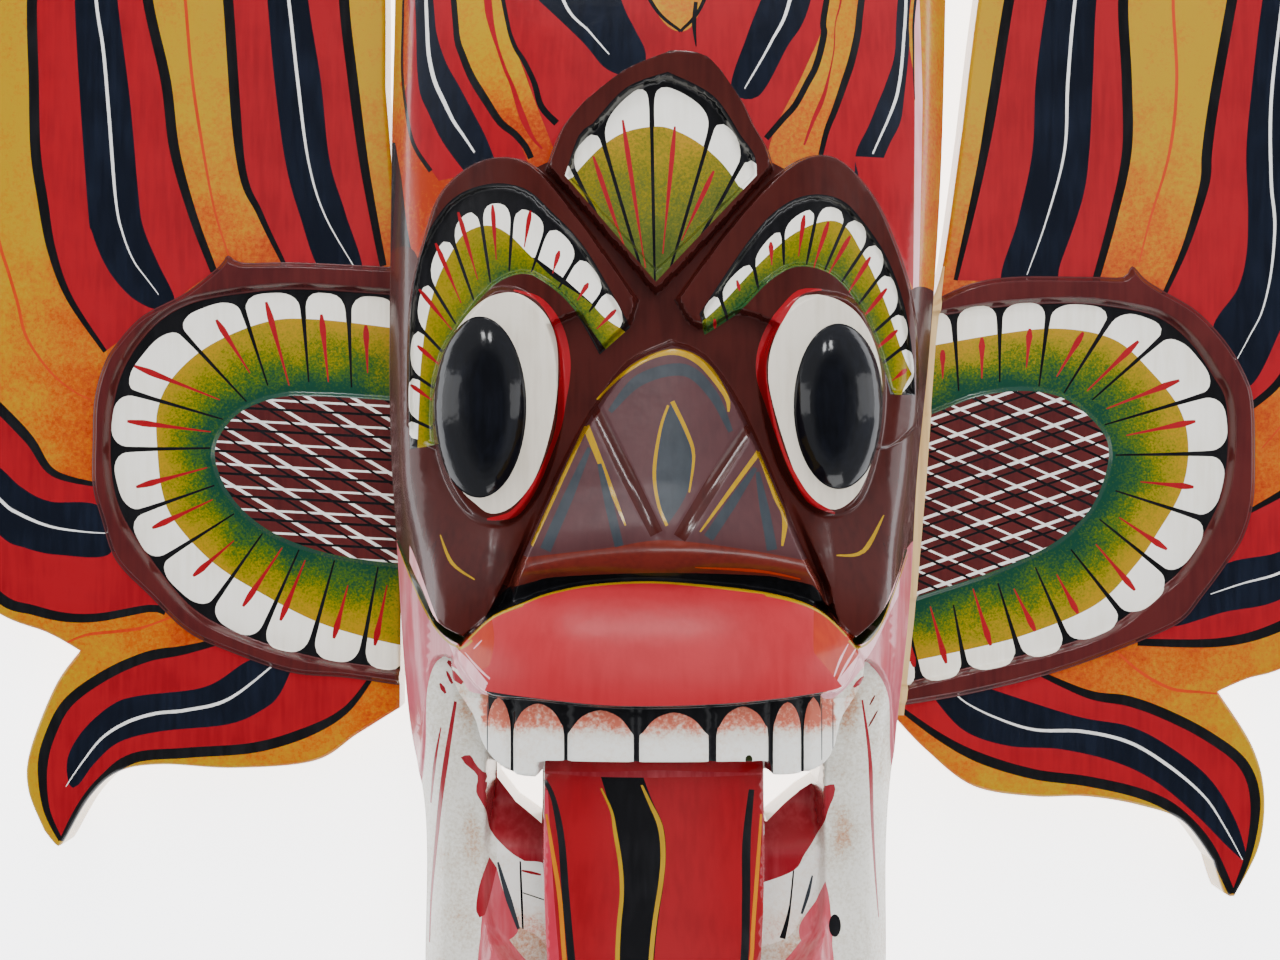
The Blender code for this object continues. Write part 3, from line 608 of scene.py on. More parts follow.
# Left board: its outline, three flames, the curl under the ear, and the ear from its frame inwards
LEFT_SPANS = [[(-73, -64), (-85, -71.5), (-97, -79), (-119.5, -81), (-140, -80), (-152, -82), (-160, -89),
               (-166.5, -100)],
              [(-166.5, -100), (-169, -103), (-173, -98.5)],
              [(-173, -98.5), (-177.5, -87), (-177, -76), (-170, -58), (-163, -48)],
              [(-163, -48), (-172, -43), (-185, -38), (-202, -26), (-214, 0), (-219, 34), (-222, 92)],
              [(-222, 92), (-206, 66), (-196, 56)],
              [(-196, 56), (-197, 95), (-192, 134), (-178, 172), (-158, 206)],
              [(-158, 206), (-150, 186), (-138, 168), (-128, 162)],
              [(-128, 162), (-131, 190), (-128, 216), (-116, 250)],
              [(-116, 250), (-96, 224), (-82, 190), (-77.5, 150), (-77, 110)],
              [(-77, 110), (-73, 60), (-72.6, 50)]]
left_tab = tab((-72.6, 21), 0.0, -1)
left_flames = [([(-158, 204.5), (-168, 179.5), (-174.5, 157), (-176, 134.5), (-175.5, 112), (-175, 92.5),
                 (-173, 78.5), (-170.5, 64.5), (-165.5, 51), (-155.5, 36)],
                [(-158, 204.5), (-150.5, 185), (-147, 162.5), (-143.5, 134.5), (-138.5, 112), (-136, 92.5),
                 (-131, 74.5), (-125, 58.5)],
                [(-158.5, 186.5), (-162.5, 162.5), (-164, 134.5), (-160.5, 78.5), (-159, 69), (-155, 59.5),
                 (-149.5, 52.5), (-144.5, 49), (-140.5, 48)],
                [(-136, 50.5), (-140.5, 60.5), (-144.5, 70), (-146, 78.5), (-148.5, 106.5), (-152, 134.5),
                 (-154.5, 162.5), (-158.5, 186.5)],
                [(-158.5, 176.5), (-159, 154), (-158, 134.5), (-156, 120.5), (-154.5, 103.5), (-152.5, 78.5),
                 (-150.5, 69), (-147.5, 61.5), (-143.5, 56), (-140.5, 52)]),
               ([(-116, 246.5), (-122, 218.5), (-124.5, 190.5), (-123.5, 162.5), (-121, 134.5),
                 (-117.5, 89.5), (-112, 74.5), (-105, 60)],
                [(-116, 246.5), (-103.5, 218.5), (-94, 190.5), (-89.5, 162.5), (-88.5, 134.5), (-86, 112),
                 (-83, 89.5), (-79.5, 70), (-77.5, 60)],
                [(-114.5, 227), (-115.5, 190.5), (-112.5, 162.5), (-110, 134.5), (-108, 112), (-105, 89.5),
                 (-101, 74.5), (-94.5, 58)],
                [(-83.5, 58), (-88, 74.5), (-92.5, 89.5), (-95, 112), (-98.5, 134.5), (-101, 162.5),
                 (-105.5, 190.5), (-114.5, 227)],
                [(-111.5, 210.5), (-108.5, 171), (-104, 134.5), (-101.5, 112), (-98.5, 89.5), (-94, 74.5),
                 (-85.5, 59.5)]),
               ([(-222, 88.5), (-215, 61.5), (-202, 36.5), (-185, 20), (-176.5, 11), (-170, 2), (-157, -1.5)],
                [(-222, 88.5), (-217.5, 42), (-209, 5.5), (-197.5, -18), (-185, -33), (-175.5, -36.5),
                 (-166.5, -38.5), (-157, -38.5), (-143, -36), (-138.5, -37)],
                [(-216.5, 50.5), (-202, 18), (-185, 3.5), (-179, -2), (-171, -6), (-157, -7.5)],
                [(-154, -20.5), (-168.5, -21), (-178, -19), (-185, -15.5), (-199, 0), (-211.5, 25),
                 (-216.5, 50.5)],
                [(-210, 31), (-199, 10), (-185, -5.5), (-179.5, -9.5), (-171, -13), (-161.5, -14.5),
                 (-153.5, -15)]),
               ([(-115, -43), (-132.5, -47.5), (-143.5, -49.5), (-155, -54.5), (-165.5, -62),
                 (-170.5, -70.5), (-173, -80), (-172, -92), (-168, -101)],
                [(-80.5, -55), (-88, -64.5), (-98.5, -70.5), (-113.5, -75), (-132.5, -76.5), (-147.5, -78),
                 (-156.5, -84.5), (-162.5, -92), (-167.5, -101.5)],
                [(-106, -47), (-116, -51), (-127.5, -58), (-146, -60.5), (-153.5, -63), (-161.5, -70),
                 (-166, -78), (-165.5, -85.5)],
                [(-163, -85.5), (-158.5, -79.5), (-151.5, -73.5), (-140, -70.5), (-121, -68.5),
                 (-111.5, -64.5), (-106.5, -60), (-102, -50)],
                [(-105, -48), (-108.5, -52), (-121, -61.5), (-132.5, -64.5), (-141.5, -65.5), (-149.5, -68),
                 (-156.5, -72.5), (-162.5, -80), (-166.5, -86)])]
left_thin_lines = [[(-134, 174), (-134.5, 151.5), (-133, 134.5), (-131, 112), (-127.5, 89.5), (-124.5, 74.5),
                    (-120.5, 62)],
                   [(-193.5, 101), (-187.5, 78.5), (-185, 66), (-182.5, 58), (-180, 49.5), (-177.5, 40),
                    (-171, 30.5), (-164.5, 25), (-159.5, 22.5)],
                   [(-168, -46.5), (-161, -43.5), (-152.5, -42.5), (-145.5, -41.5), (-137, -38.5)]]
left_frame = [(-70, 59.5), (-101, 61), (-117, 61), (-121, 63), (-123.5, 60), (-133, 52.5), (-145, 46),
              (-152.5, 38), (-156, 32), (-158.5, 22.5), (-159, 11), (-159, -1.5), (-156.5, -11),
              (-152.5, -22.5), (-143, -32.5), (-132.5, -42.5), (-121, -48), (-103.5, -54), (-87.5, -55.5),
              (-70, -58)]
left_field = [(-70, 51.5), (-99.5, 53.5), (-116, 52.5), (-131.5, 49.5), (-142, 43), (-150, 32),
              (-153.5, 19.5), (-154, 4), (-151.5, -8), (-145, -19), (-131.5, -35.5), (-115.5, -44),
              (-95, -50), (-70, -53.5)]
left_band = [(-70, 42), (-95, 45), (-110, 44.5), (-126, 38), (-136.5, 29), (-141, 19.5), (-141, 8),
             (-139.5, -4), (-135.5, -12.5), (-125, -23.5), (-111.5, -32), (-97, -39.5), (-83, -44),
             (-70, -47)]
left_core = [(-70, 23.5), (-95, 25), (-108, 24.5), (-119.5, 19.5), (-126, 10), (-124.5, 0), (-118, -9.5),
             (-107.5, -17), (-91.5, -22.5), (-70, -25.5)]
left_separators = [((-73, 50), (-73, 26)), ((-87.5, 51), (-86.5, 26)), ((-100.5, 52), (-98.5, 27.5)),
                   ((-118, 51), (-110, 26.5)), ((-136.5, 44), (-116, 22)), ((-151.5, 25.5), (-122.5, 17)),
                   ((-153.5, 8.5), (-123.5, 9)), ((-149, -10), (-125, -1.5)),
                   ((-141.5, -23.5), (-119.5, -9.5)), ((-127, -37), (-111.5, -15)),
                   ((-112.5, -45), (-101, -19)), ((-98.5, -48.5), (-91, -21.5)), ((-84, -51), (-79, -24)),
                   ((-71, -53), (-69, -25))]
left_drops = [((-82.5, 43.5), (-82, 30)), ((-95, 46.5), (-93, 27.5)), ((-110.5, 50), (-104, 26.5)),
              ((-124.5, 45), (-115, 30)), ((-147.5, 32), (-123.5, 22.5)), ((-149.5, 16.5), (-126, 13.5)),
              ((-147, -2), (-127, 3.5)), ((-142.5, -13.5), (-125.5, -5.5)), ((-131, -27), (-119.5, -17)),
              ((-117, -35.5), (-106, -19)), ((-106.5, -39.5), (-99.5, -22.5)),
              ((-91.5, -44.5), (-87.5, -29.5)), ((-80, -46.5), (-76.5, -29.5))]
left_hatches = [(line_white, -31, 6.4, 0.85, 0.0), (line_white, -3, 6.2, 0.6, 1.0),
                (outline_black, -31, 6.4, 0.6, -2.2), (outline_black, -3, 6.2, 0.7, -1.6)]
ear_board("wing_left", LEFT_SPANS, left_tab, left_flames, left_thin_lines,
          (left_frame, left_field, left_band, left_core), left_separators, left_drops, left_hatches)

# Right board: the same parts as the left one, drawn by hand in its own slightly different shapes
RIGHT_SPANS = [
    [(66, -66.5), (75, -76), (88, -86), (105, -89), (120, -89), (135, -91.5), (147, -96), (155.5, -107)],
    [(155.5, -107), (158.5, -116), (161.5, -117)],
    [(161.5, -117), (168.5, -103), (170, -88), (166.5, -74.5), (157, -59.5)],
    [(157, -59.5), (165, -56), (176, -52.5), (196, -40), (210, -14), (217, 20), (222, 74)],
    [(222, 74), (210, 52), (199, 40)],
    [(199, 40), (206, 84), (205, 128), (196, 166), (178, 200)],
    [(178, 200), (170, 180), (158, 164), (150, 158)],
    [(150, 158), (151, 186), (146, 212), (132, 244)],
    [(132, 244), (112, 218), (97, 182), (89.5, 134.5), (85, 98)],
    [(85, 98), (79.5, 60), (75.2, 48)],
]
RIGHT_LEAN = math.radians(5.5)
right_tab = tab((72.6, 21), RIGHT_LEAN, 1)
right_flames = [([(131.5, 239), (119.5, 213), (109.5, 185), (102.5, 157), (98, 134.5), (91, 92), (83, 56)],
                 [(131.5, 239), (136, 213), (134.5, 185), (132, 157), (130, 134.5), (131, 112), (131, 92),
                  (127, 73), (122, 55)],
                 [(129.5, 221.5), (120.5, 190.5), (113, 160), (108.5, 134.5), (105.5, 112), (104.5, 92),
                  (100.5, 73), (96, 55)],
                 [(110, 55), (112.5, 61), (118.5, 78.5), (120.5, 92), (121.5, 112), (122.5, 134.5),
                  (125.5, 160), (129, 190.5), (129.5, 221.5)],
                 [(127.5, 202), (121, 168), (116.5, 134.5), (114.5, 112), (113.5, 92), (108.5, 73),
                  (103, 57.5)]),
                ([(177.5, 197), (169, 174), (163.5, 151.5), (160.5, 134.5), (155.5, 106.5), (153.5, 92),
                  (153, 84), (150, 73), (146.5, 63), (141, 51)],
                 [(177.5, 197), (186.5, 176.5), (191.5, 148.5), (192.5, 120.5), (191.5, 89.5), (188, 64.5),
                  (181, 42), (174, 28), (165, 20)],
                 [(178, 179.5), (172.5, 154), (169, 134.5), (166, 109.5), (164.5, 92), (165, 75.5),
                  (164.5, 63), (162, 53.5), (155, 41)],
                 [(164.5, 26), (174, 42), (180.5, 61.5), (183, 92.5), (183, 123.5), (181, 151.5),
                  (178, 179.5)],
                 [(177.5, 165.5), (174.5, 134.5), (171.5, 106.5), (171.5, 84), (172.5, 72), (171.5, 58.5),
                  (169, 47.5), (165.5, 40.5), (162, 34)]),
                ([(221.5, 70.5), (213, 42), (199, 17), (185, 3), (174, -4), (165, -9)],
                 [(221.5, 70.5), (219, 31), (207.5, -3), (191, -31), (174, -41), (157.5, -45.5),
                  (134, -45.5)],
                 [(217, 45), (202, 8.5), (188, -11), (174, -20), (157, -24.5)],
                 [(143, -40.5), (158.5, -37), (174, -33.5), (191, -21.5), (206, 3), (217, 45)],
                 [(212, 25), (199, -1.5), (185, -19.5), (174, -26), (163.5, -29), (154.5, -32)]),
                ([(104, -53), (120, -60), (131.5, -62), (142.5, -66), (154, -72), (163.5, -79.5),
                  (167, -89.5), (165.5, -103.5), (161, -116)],
                 [(66, -63), (78.5, -72), (90, -78), (105, -82.5), (120, -84.5), (135, -88), (145, -93),
                  (154, -102.5), (160.5, -116)],
                 [(88, -57), (116, -66), (131.5, -69), (142.5, -74.5), (154, -83.5), (161.5, -95.5),
                  (164.5, -106.5)],
                 [(160, -103.5), (150, -93.5), (139, -84.5), (127.5, -79), (112.5, -75.5), (97.5, -74.5),
                  (85, -70), (76, -60)],
                 [(82, -59), (86, -62.5), (94, -66.5), (105, -70), (118.5, -70.5), (131.5, -73.5),
                  (142.5, -80), (152.5, -88.5), (158, -96.5), (163.5, -106.5)])]
right_thin_lines = [[(147.5, 171), (145, 151.5), (144, 134.5), (145, 112), (143, 92), (137.5, 73),
                     (134.5, 61)],
                    [(193.5, 103.5), (196, 78.5), (193, 53.5), (186, 33.5), (178, 20), (169, 9)],
                    [(128, -48), (135, -54), (143.5, -58.5), (152, -59.5), (157, -60)]]
right_frame = [(70, 48), (76, 50), (87, 55), (99.5, 57), (120.5, 57), (130, 57), (132.5, 60), (136, 56.5),
               (140.5, 53.5), (150.5, 47.5), (159, 38.5), (164.5, 29), (166.5, 22), (167, 8), (166.5, -6),
               (163.5, -16.5), (158, -25), (152, -33), (146.5, -39.5), (136.5, -44.5), (112.5, -53.5),
               (87, -60), (60, -64.5)]
right_field = [(70, 44), (76, 45.5), (95.5, 48.5), (116.5, 49.5), (133.5, 47.5), (142, 44.5), (149.5, 38),
               (155.5, 29), (159, 22), (159.5, 8.5), (157.5, -4.5), (153, -14.5), (146.5, -25), (139.5, -31),
               (127.5, -40.5), (112.5, -46.5), (87, -52.5), (60, -59)]
right_band = [(70, 36.5), (95.5, 41), (112.5, 42.5), (127.5, 39.5), (137.5, 31), (146, 20), (148.5, 9),
                (146.5, -3), (140, -14.5), (133.5, -24), (122.5, -35), (104, -43), (87, -47.5), (60, -53)]
right_core = [(66, 16), (76, 20), (89.5, 25), (104, 26.5), (115.5, 23.5), (125, 15), (127.5, 7.5),
              (125.5, -2), (120.5, -11), (110.5, -19.5), (95.5, -26.5), (81, -31.5), (60, -38)]
right_separators = [((70, 44), (71, 18)), ((82.5, 47), (84, 25)), ((95.5, 48.5), (95.5, 27.5)),
                    ((109.5, 49), (106.5, 26)), ((128, 47.5), (113, 23.5)), ((143.5, 42), (121.5, 22.5)),
                    ((157, 25), (125, 15.5)), ((159, 7.5), (128, 7)), ((154.5, -11.5), (128, -3)),
                    ((144, -27.5), (123.5, -11)), ((131, -39), (115.5, -19.5)), ((115, -46), (105.5, -24.5)),
                    ((101.5, -50), (95, -29)), ((86, -53.5), (82.5, -35)), ((73, -56.5), (70, -40)),
                    ((62, -58), (60, -43))]
right_drops = [((79.5, 36.5), (79.5, 28.5)), ((90.5, 40), (90.5, 28.5)), ((104, 42.5), (103, 31.5)),
               ((119, 41.5), (111.5, 29)), ((134.5, 39), (120, 25)), ((146, 28), (125.5, 20)),
               ((150.5, 16.5), (131, 12.5)), ((150, -2), (135, -0.5)), ((142.5, -19.5), (129, -10.5)),
               ((133.5, -31), (122.5, -18)), ((117.5, -37.5), (111.5, -26.5)),
               ((105.5, -42.5), (99.5, -30.5)), ((93, -46.5), (88, -30.5)), ((80.5, -51.5), (76, -35.5)),
               ((71.5, -52.5), (69.5, -42.5))]
right_hatches = [(line_white, 19, 6.4, 0.85, 0.0), (line_white, -24, 6.6, 0.6, 1.0),
                 (outline_black, 19, 6.4, 0.6, -2.2), (outline_black, -25, 6.6, 0.7, -1.6)]
# A strip of bare wood is left unpainted along the inner edge
right_bare_strip = [(64, -66), (68.5, -66), (71.5, -39), (74.8, 0), (77.5, 38), (80, 60), (76, 60), (70, 38),
                    (66, 0)]
ear_board("wing_right", RIGHT_SPANS, right_tab, right_flames, right_thin_lines,
          (right_frame, right_field, right_band, right_core), right_separators, right_drops, right_hatches,
          right_bare_strip)

# The carved head.
# One block of light kaduru wood, carved in relief, hollowed from the back to walls of about 11 mm, then
# brushed with oil enamels. The crown's flames are flat painting on the carved block.
HEAD_SPANS = [[(-1.5, -195.5), (-27, -191.5), (-48, -178), (-60, -154.5), (-62, -127.5), (-62.5, -88),
               (-66.5, -62), (-69.5, -20), (-72, 20), (-72, 90), (-72, 135), (-75, 178), (-83, 222)],
              [(-83, 222), (-68, 206), (-59, 192)],
              [(-59, 192), (-59, 222), (-51, 250), (-38, 275)],
              [(-38, 275), (-27, 250), (-20, 226)],
              [(-20, 226), (-15, 256), (-7, 278), (5, 298)],
              [(5, 298), (14, 278), (20, 256), (23, 227)],
              [(23, 227), (32, 252), (45, 275)],
              [(45, 275), (56, 248), (62, 222), (62, 193)],
              [(62, 193), (74, 208), (89, 222)],
              [(89, 222), (80.5, 176), (77.5, 130), (75, 80), (71.5, 36), (67.5, 0), (65.5, -30),
               (62.5, -60), (60, -88), (59, -127.5), (56, -154.5), (45, -178), (24, -191.5), (-1.5, -195.5)]]
head_outline = closed(*HEAD_SPANS)
RELIEF_STEP = 2.5
STEP_WIDTH = 1.6


def carving(*spans):
    """Closed outline of a carved form, at the coarser step that distances are measured to."""
    return [point for span in spans for point in curve(span, RELIEF_STEP)[:-1]]


head_rim = carving(*HEAD_SPANS)
CREST_SPANS = [[(-1.5, 46.5), (-11.5, 58.5), (-30, 79.5)], [(-30, 79.5), (-26, 90), (-20.5, 97)],
               [(-20.5, 97), (-10, 105), (2, 110)], [(2, 110), (12, 108.5), (20, 99), (24, 91)],
               [(24, 91), (27.5, 85), (29, 79.5)], [(29, 79.5), (12.5, 61), (-1.5, 46.5)]]
crest = carving(*CREST_SPANS)
FAN_TOP = [[(-24.5, 77), (-21, 87), (-17.5, 90)], [(-17.5, 90), (-9, 99), (1.5, 103)],
           [(1.5, 103), (13, 97), (20, 87)], [(20, 87), (23.5, 82), (24, 77)]]
crest_field = carving([(-1.5, 52), (-24.5, 77)], *FAN_TOP, [(24, 77), (-1.5, 52)])
BROW_TOP_LEFT = [(-66.5, 14), (-66, 45), (-62, 63), (-57, 75.5), (-46, 83), (-33.5, 81.5), (-22, 69),
                 (-5.5, 46)]
BROW_TOP_RIGHT = [(68, 14), (66.5, 44), (59.5, 66), (52, 78), (43, 84), (32, 80.5), (18, 66), (3, 46)]
brows = {-1: carving(BROW_TOP_LEFT, [(-5.5, 46), (-9, 38), (-20, 42), (-40, 30), (-56, 8), (-66.5, 14)]),
         1: carving(BROW_TOP_RIGHT, [(3, 46), (9, 38), (20, 42), (38, 32), (54, 8), (68, 14)])}
PETAL_EDGE_LEFT = [(-65.5, 8), (-65.5, 27), (-64.8, 46), (-62, 60), (-54.5, 71.5), (-44.5, 75.5), (-35, 74),
                   (-28, 68), (-19, 58), (-8, 39)]
PETAL_EDGE_RIGHT = [(66, 22), (65, 33), (62.5, 46), (58, 57.5), (52, 66), (46, 71.5), (38, 72.5), (30, 69),
                    (22, 60.5), (9.5, 42)]
LID_LEFT = [(-15.8, 32), (-22.5, 43.5), (-30, 50.2), (-35.6, 52.3), (-42.8, 49.5), (-50.3, 41.3),
            (-55.1, 32.2), (-58.4, 19.5), (-58.3, 9)]
LID_RIGHT = [(11, 37), (20, 43), (27, 50), (34, 54), (42, 53), (48, 48), (53, 40), (56.5, 31), (59, 22)]
petal_fields = {-1: carving(PETAL_EDGE_LEFT, [PETAL_EDGE_LEFT[-1], LID_LEFT[0]], LID_LEFT,
                            [LID_LEFT[-1], PETAL_EDGE_LEFT[0]]),
                1: carving(PETAL_EDGE_RIGHT, [PETAL_EDGE_RIGHT[-1], LID_RIGHT[0]], LID_RIGHT,
                           [LID_RIGHT[-1], PETAL_EDGE_RIGHT[0]])}
eyes = {-1: carving([(-50, 43), (-43, 49.5), (-34, 48), (-27, 39), (-24.5, 27), (-25.5, 11), (-31, -4),
                     (-39, -12), (-49, -10), (-57, 2), (-60, 20), (-57, 34), (-50, 43)]),
        1: carving([(39.5, 49), (31, 44), (24.5, 31), (25, 19), (29, 4), (36, -7), (44, -10), (52, -5),
                    (57, 10), (58, 26), (54, 41), (48, 47.5), (39.5, 49)])}
EYE_WHITES = {-1: [(-51.6, 39.8), (-48.2, 43.7), (-43.3, 46.6), (-37.5, 47.4), (-32.6, 45.1), (-28.7, 40.8),
                   (-26.7, 34.9), (-26.2, 27.1), (-26.7, 19.3), (-28.2, 11.5), (-30.6, 3.7), (-33.6, -2.2),
                   (-38.4, -7.1), (-43.3, -8.5), (-47.2, -6.1), (-52, -1.2), (-56.5, 9), (-58.2, 20),
                   (-56, 32), (-51.6, 39.8)],
              1: [(39.5, 47), (35, 46.2), (31, 41), (27.8, 34), (26.8, 27), (27.8, 20), (31, 9), (34.5, 0),
                  (38.5, -5), (44, -7.5), (49.5, -4), (53, 3), (55.8, 12), (56.4, 24), (55, 33),
                  (50.5, 41.5), (45, 45.6), (39.5, 47)]}
PUPILS = ((-46.3, 18.5, 12, 22.8), (45, 18.7, 11.6, 20.8))
NOSE_SPANS = [[(2.5, 36), (-9, 30.5), (-17, 20), (-25, 6), (-31, -7.5), (-37.5, -23), (-41, -33)],
              [(-41, -33), (44, -33)],
              [(44, -33), (40.5, -25), (36, -17), (27.5, 4), (19, 22), (11, 32.5), (2.5, 36)]]
nose = carving(*NOSE_SPANS)
cheeks = {-1: carving([(-72, 20), (-69.5, -16), (-62.5, -28), (-57.5, -36.5), (-50, -40.5)],
                      [(-50, -40.5), (-43, -35), (-38, -25)], [(-38, -25), (-31, -7.5), (-25, 6), (-17, 20)],
                      [(-17, 20), (-72, 20)]),
          1: carving([(71, 20), (64, -18), (57, -33), (48.5, -41)], [(48.5, -41), (43, -36), (40.5, -26)],
                     [(40.5, -26), (34, -10), (27.5, 4), (19, 20)], [(19, 20), (71, 20)])}
LIP_TOP = [(-51, -43), (-48, -39.5), (-42, -34), (-34, -30.5), (-27, -28), (-16, -26), (1, -25.5), (25, -28),
           (38, -32), (45.5, -38.5), (48.5, -43)]
LIP_EDGE = [(48.5, -43), (44, -50.5), (38.5, -51.5), (14, -53.5), (-10, -54), (-31, -52.5), (-43.5, -51.5),
            (-51, -43)]
FOLD_SPANS = {-1: [[(-50, -40.5), (-57.5, -36.5), (-62.5, -28), (-69.5, -16), (-74, -14)],
                   [(-74, -14), (-70, -60), (-64, -84)],
                   [(-64, -84), (-61.5, -70), (-60.5, -54), (-57, -46), (-50.5, -47.5), (-43, -52.5)],
                   [(-43, -52.5), (-42, -46), (-44, -38), (-50, -40.5)]],
              1: [[(48.5, -41), (57, -33), (64, -18), (72, -14)],
                  [(72, -14), (68, -60), (62, -86)],
                  [(62, -86), (60, -70), (58.5, -55), (52, -46.5), (45, -49.5), (41, -52.5)],
                  [(41, -52.5), (40, -46), (42, -38), (48.5, -41)]]}
folds = {side: carving(*spans) for side, spans in FOLD_SPANS.items()}
lip = moved_out(carving(LIP_TOP, LIP_EDGE), STEP_WIDTH)
TEETH_EDGE = [(-46, -60), (-43.5, -66.5), (-37.5, -71.5), (-30, -72.5), (-6.5, -71.5), (12, -71.5),
              (27.5, -72), (36, -71.5), (41.5, -68), (44, -60)]
teeth = moved_out(carving([(44, -60), (44, -42), (-46, -42), (-46, -60)], TEETH_EDGE), STEP_WIDTH)
TEETH_GAPS = (-37, -23.5, -6.5, 12, 26.5, 34.5)
TONGUE_SPANS = [[(-29.5, -70), (-29.5, -90), (-28.5, -116), (-26, -134), (-15, -149), (-2, -154), (11, -149),
                 (21, -134), (24.5, -116), (25.5, -90), (25.5, -70)], [(25.5, -70), (-29.5, -70)]]
tongue = moved_out(carving(*TONGUE_SPANS), STEP_WIDTH)
mouth = carving([(-45, -58), (-46, -80), (-46, -112), (-38, -128), (-20, -135), (-2, -137), (16, -135),
                 (34, -128), (42.5, -112), (42.5, -80), (43, -58)],
                [(43, -58), (-45, -58)])
lower_lip = carving([(-46, -113), (-47, -128), (-40, -141), (-22, -149), (-2, -152), (18, -149), (36, -141),
                     (44, -128), (43, -113)],
                    [(43, -113), (38, -118), (30, -127), (16, -134), (-2, -136), (-20, -134), (-33, -127),
                     (-41, -118), (-46, -113)])
MIDDLE_PROFILE = ((-196, 50), (-170, 68), (-140, 72), (-100, 66), (-50, 72), (-20, 72), (20, 70), (60, 68),
                  (110, 64), (140, 59), (220, 42), (300, 28))
SIDE_FALL = 12.0
SIDE_REACH = 72.0
EDGE_ROUNDING = 9.0
EDGE_DROP = 7.0
CREST_TOP = 74.5
CREST_FIELD_TOP = 70.5
CREST_CROWNING = 0.0016
FOLD_TOP = 84.0
FOLD_SLOPE = 1.15
CHEEK_BULGE = 12.0
BROW_TOP = 74.0
BROW_FALL = 11.0
PETALS_SUNK = 2.2
EYE_TOP = 75.0
EYE_FALL = 6.0
EYE_EDGE = 2.5
PUPIL_RISE = 15.0
NOSE_RIDGE = ((-30, 83), (-24, 85.5), (-15.5, 95), (0, 88.5), (36, 76))
NOSE_SLOPE = 0.16
NOSE_EDGE = 3.0
# The two V grooves that split the nose into its middle leaf and its side facets
NOSE_GROOVES = (((-17.5, 19), (-10, 4), (-1.5, -13)), ((22, 13.5), (13, 0), (4, -14)))
NOSE_GROOVE_DEPTH = 1.7
NOSE_GROOVE_WIDTH = 2.4
MOUTH_FLOOR = 50.0
MOUTH_EDGE = 2.5
JAW_RISE = 10.0
TEETH_TOP = 92.0
TEETH_FALL = 10.0
TOOTH_GROOVE_DEPTH = 1.8
TOOTH_GROOVE_WIDTH = 1.6
LIP_CROWN = 98.5
LIP_FALL = 15.0
LOWER_LIP_CROWN = 77
LOWER_LIP_FALL = 9
LOWER_LIP_EDGE = 4.0
TONGUE_PROFILE = ((70, 79), (110, 87), (138, 95), (154, 93))
TONGUE_FALL = 5.0
SOFTENED = 0.4


def distance_to(points, path, reach):
    """Distance to an open path, no more than the reach."""
    nearest = np.full(len(points), reach ** 2)
    for (ax, ay), (bx, by) in zip(path, path[1:]):
        dx, dy = bx - ax, by - ay
        t = np.clip(((points[:, 0] - ax) * dx + (points[:, 1] - ay) * dy) / (dx * dx + dy * dy), 0.0, 1.0)
        nearest = np.minimum(nearest, (points[:, 0] - ax - t * dx) ** 2 + (points[:, 1] - ay - t * dy) ** 2)
    return np.sqrt(nearest)


def profile(places, stations):
    """Read a smooth profile given as (place, value) stations from low to high."""
    value = np.full(len(places), float(stations[0][1]))
    ends = (stations[0],) + tuple(stations) + (stations[-1],)
    for before, start, end, after in zip(ends, ends[1:], ends[2:], ends[3:]):
        length, rise = end[0] - start[0], end[1] - start[1]
        slope_in = (end[1] - before[1]) / (end[0] - before[0]) * length
        slope_out = (after[1] - start[1]) / (after[0] - start[0]) * length
        t = np.clip((places - start[0]) / length, 0.0, 1.0)
        here = (start[1] + slope_in * t + (3 * rise - 2 * slope_in - slope_out) * t ** 2
                + (slope_in + slope_out - 2 * rise) * t ** 3)
        value = np.where(places > start[0], here, value)
    return value


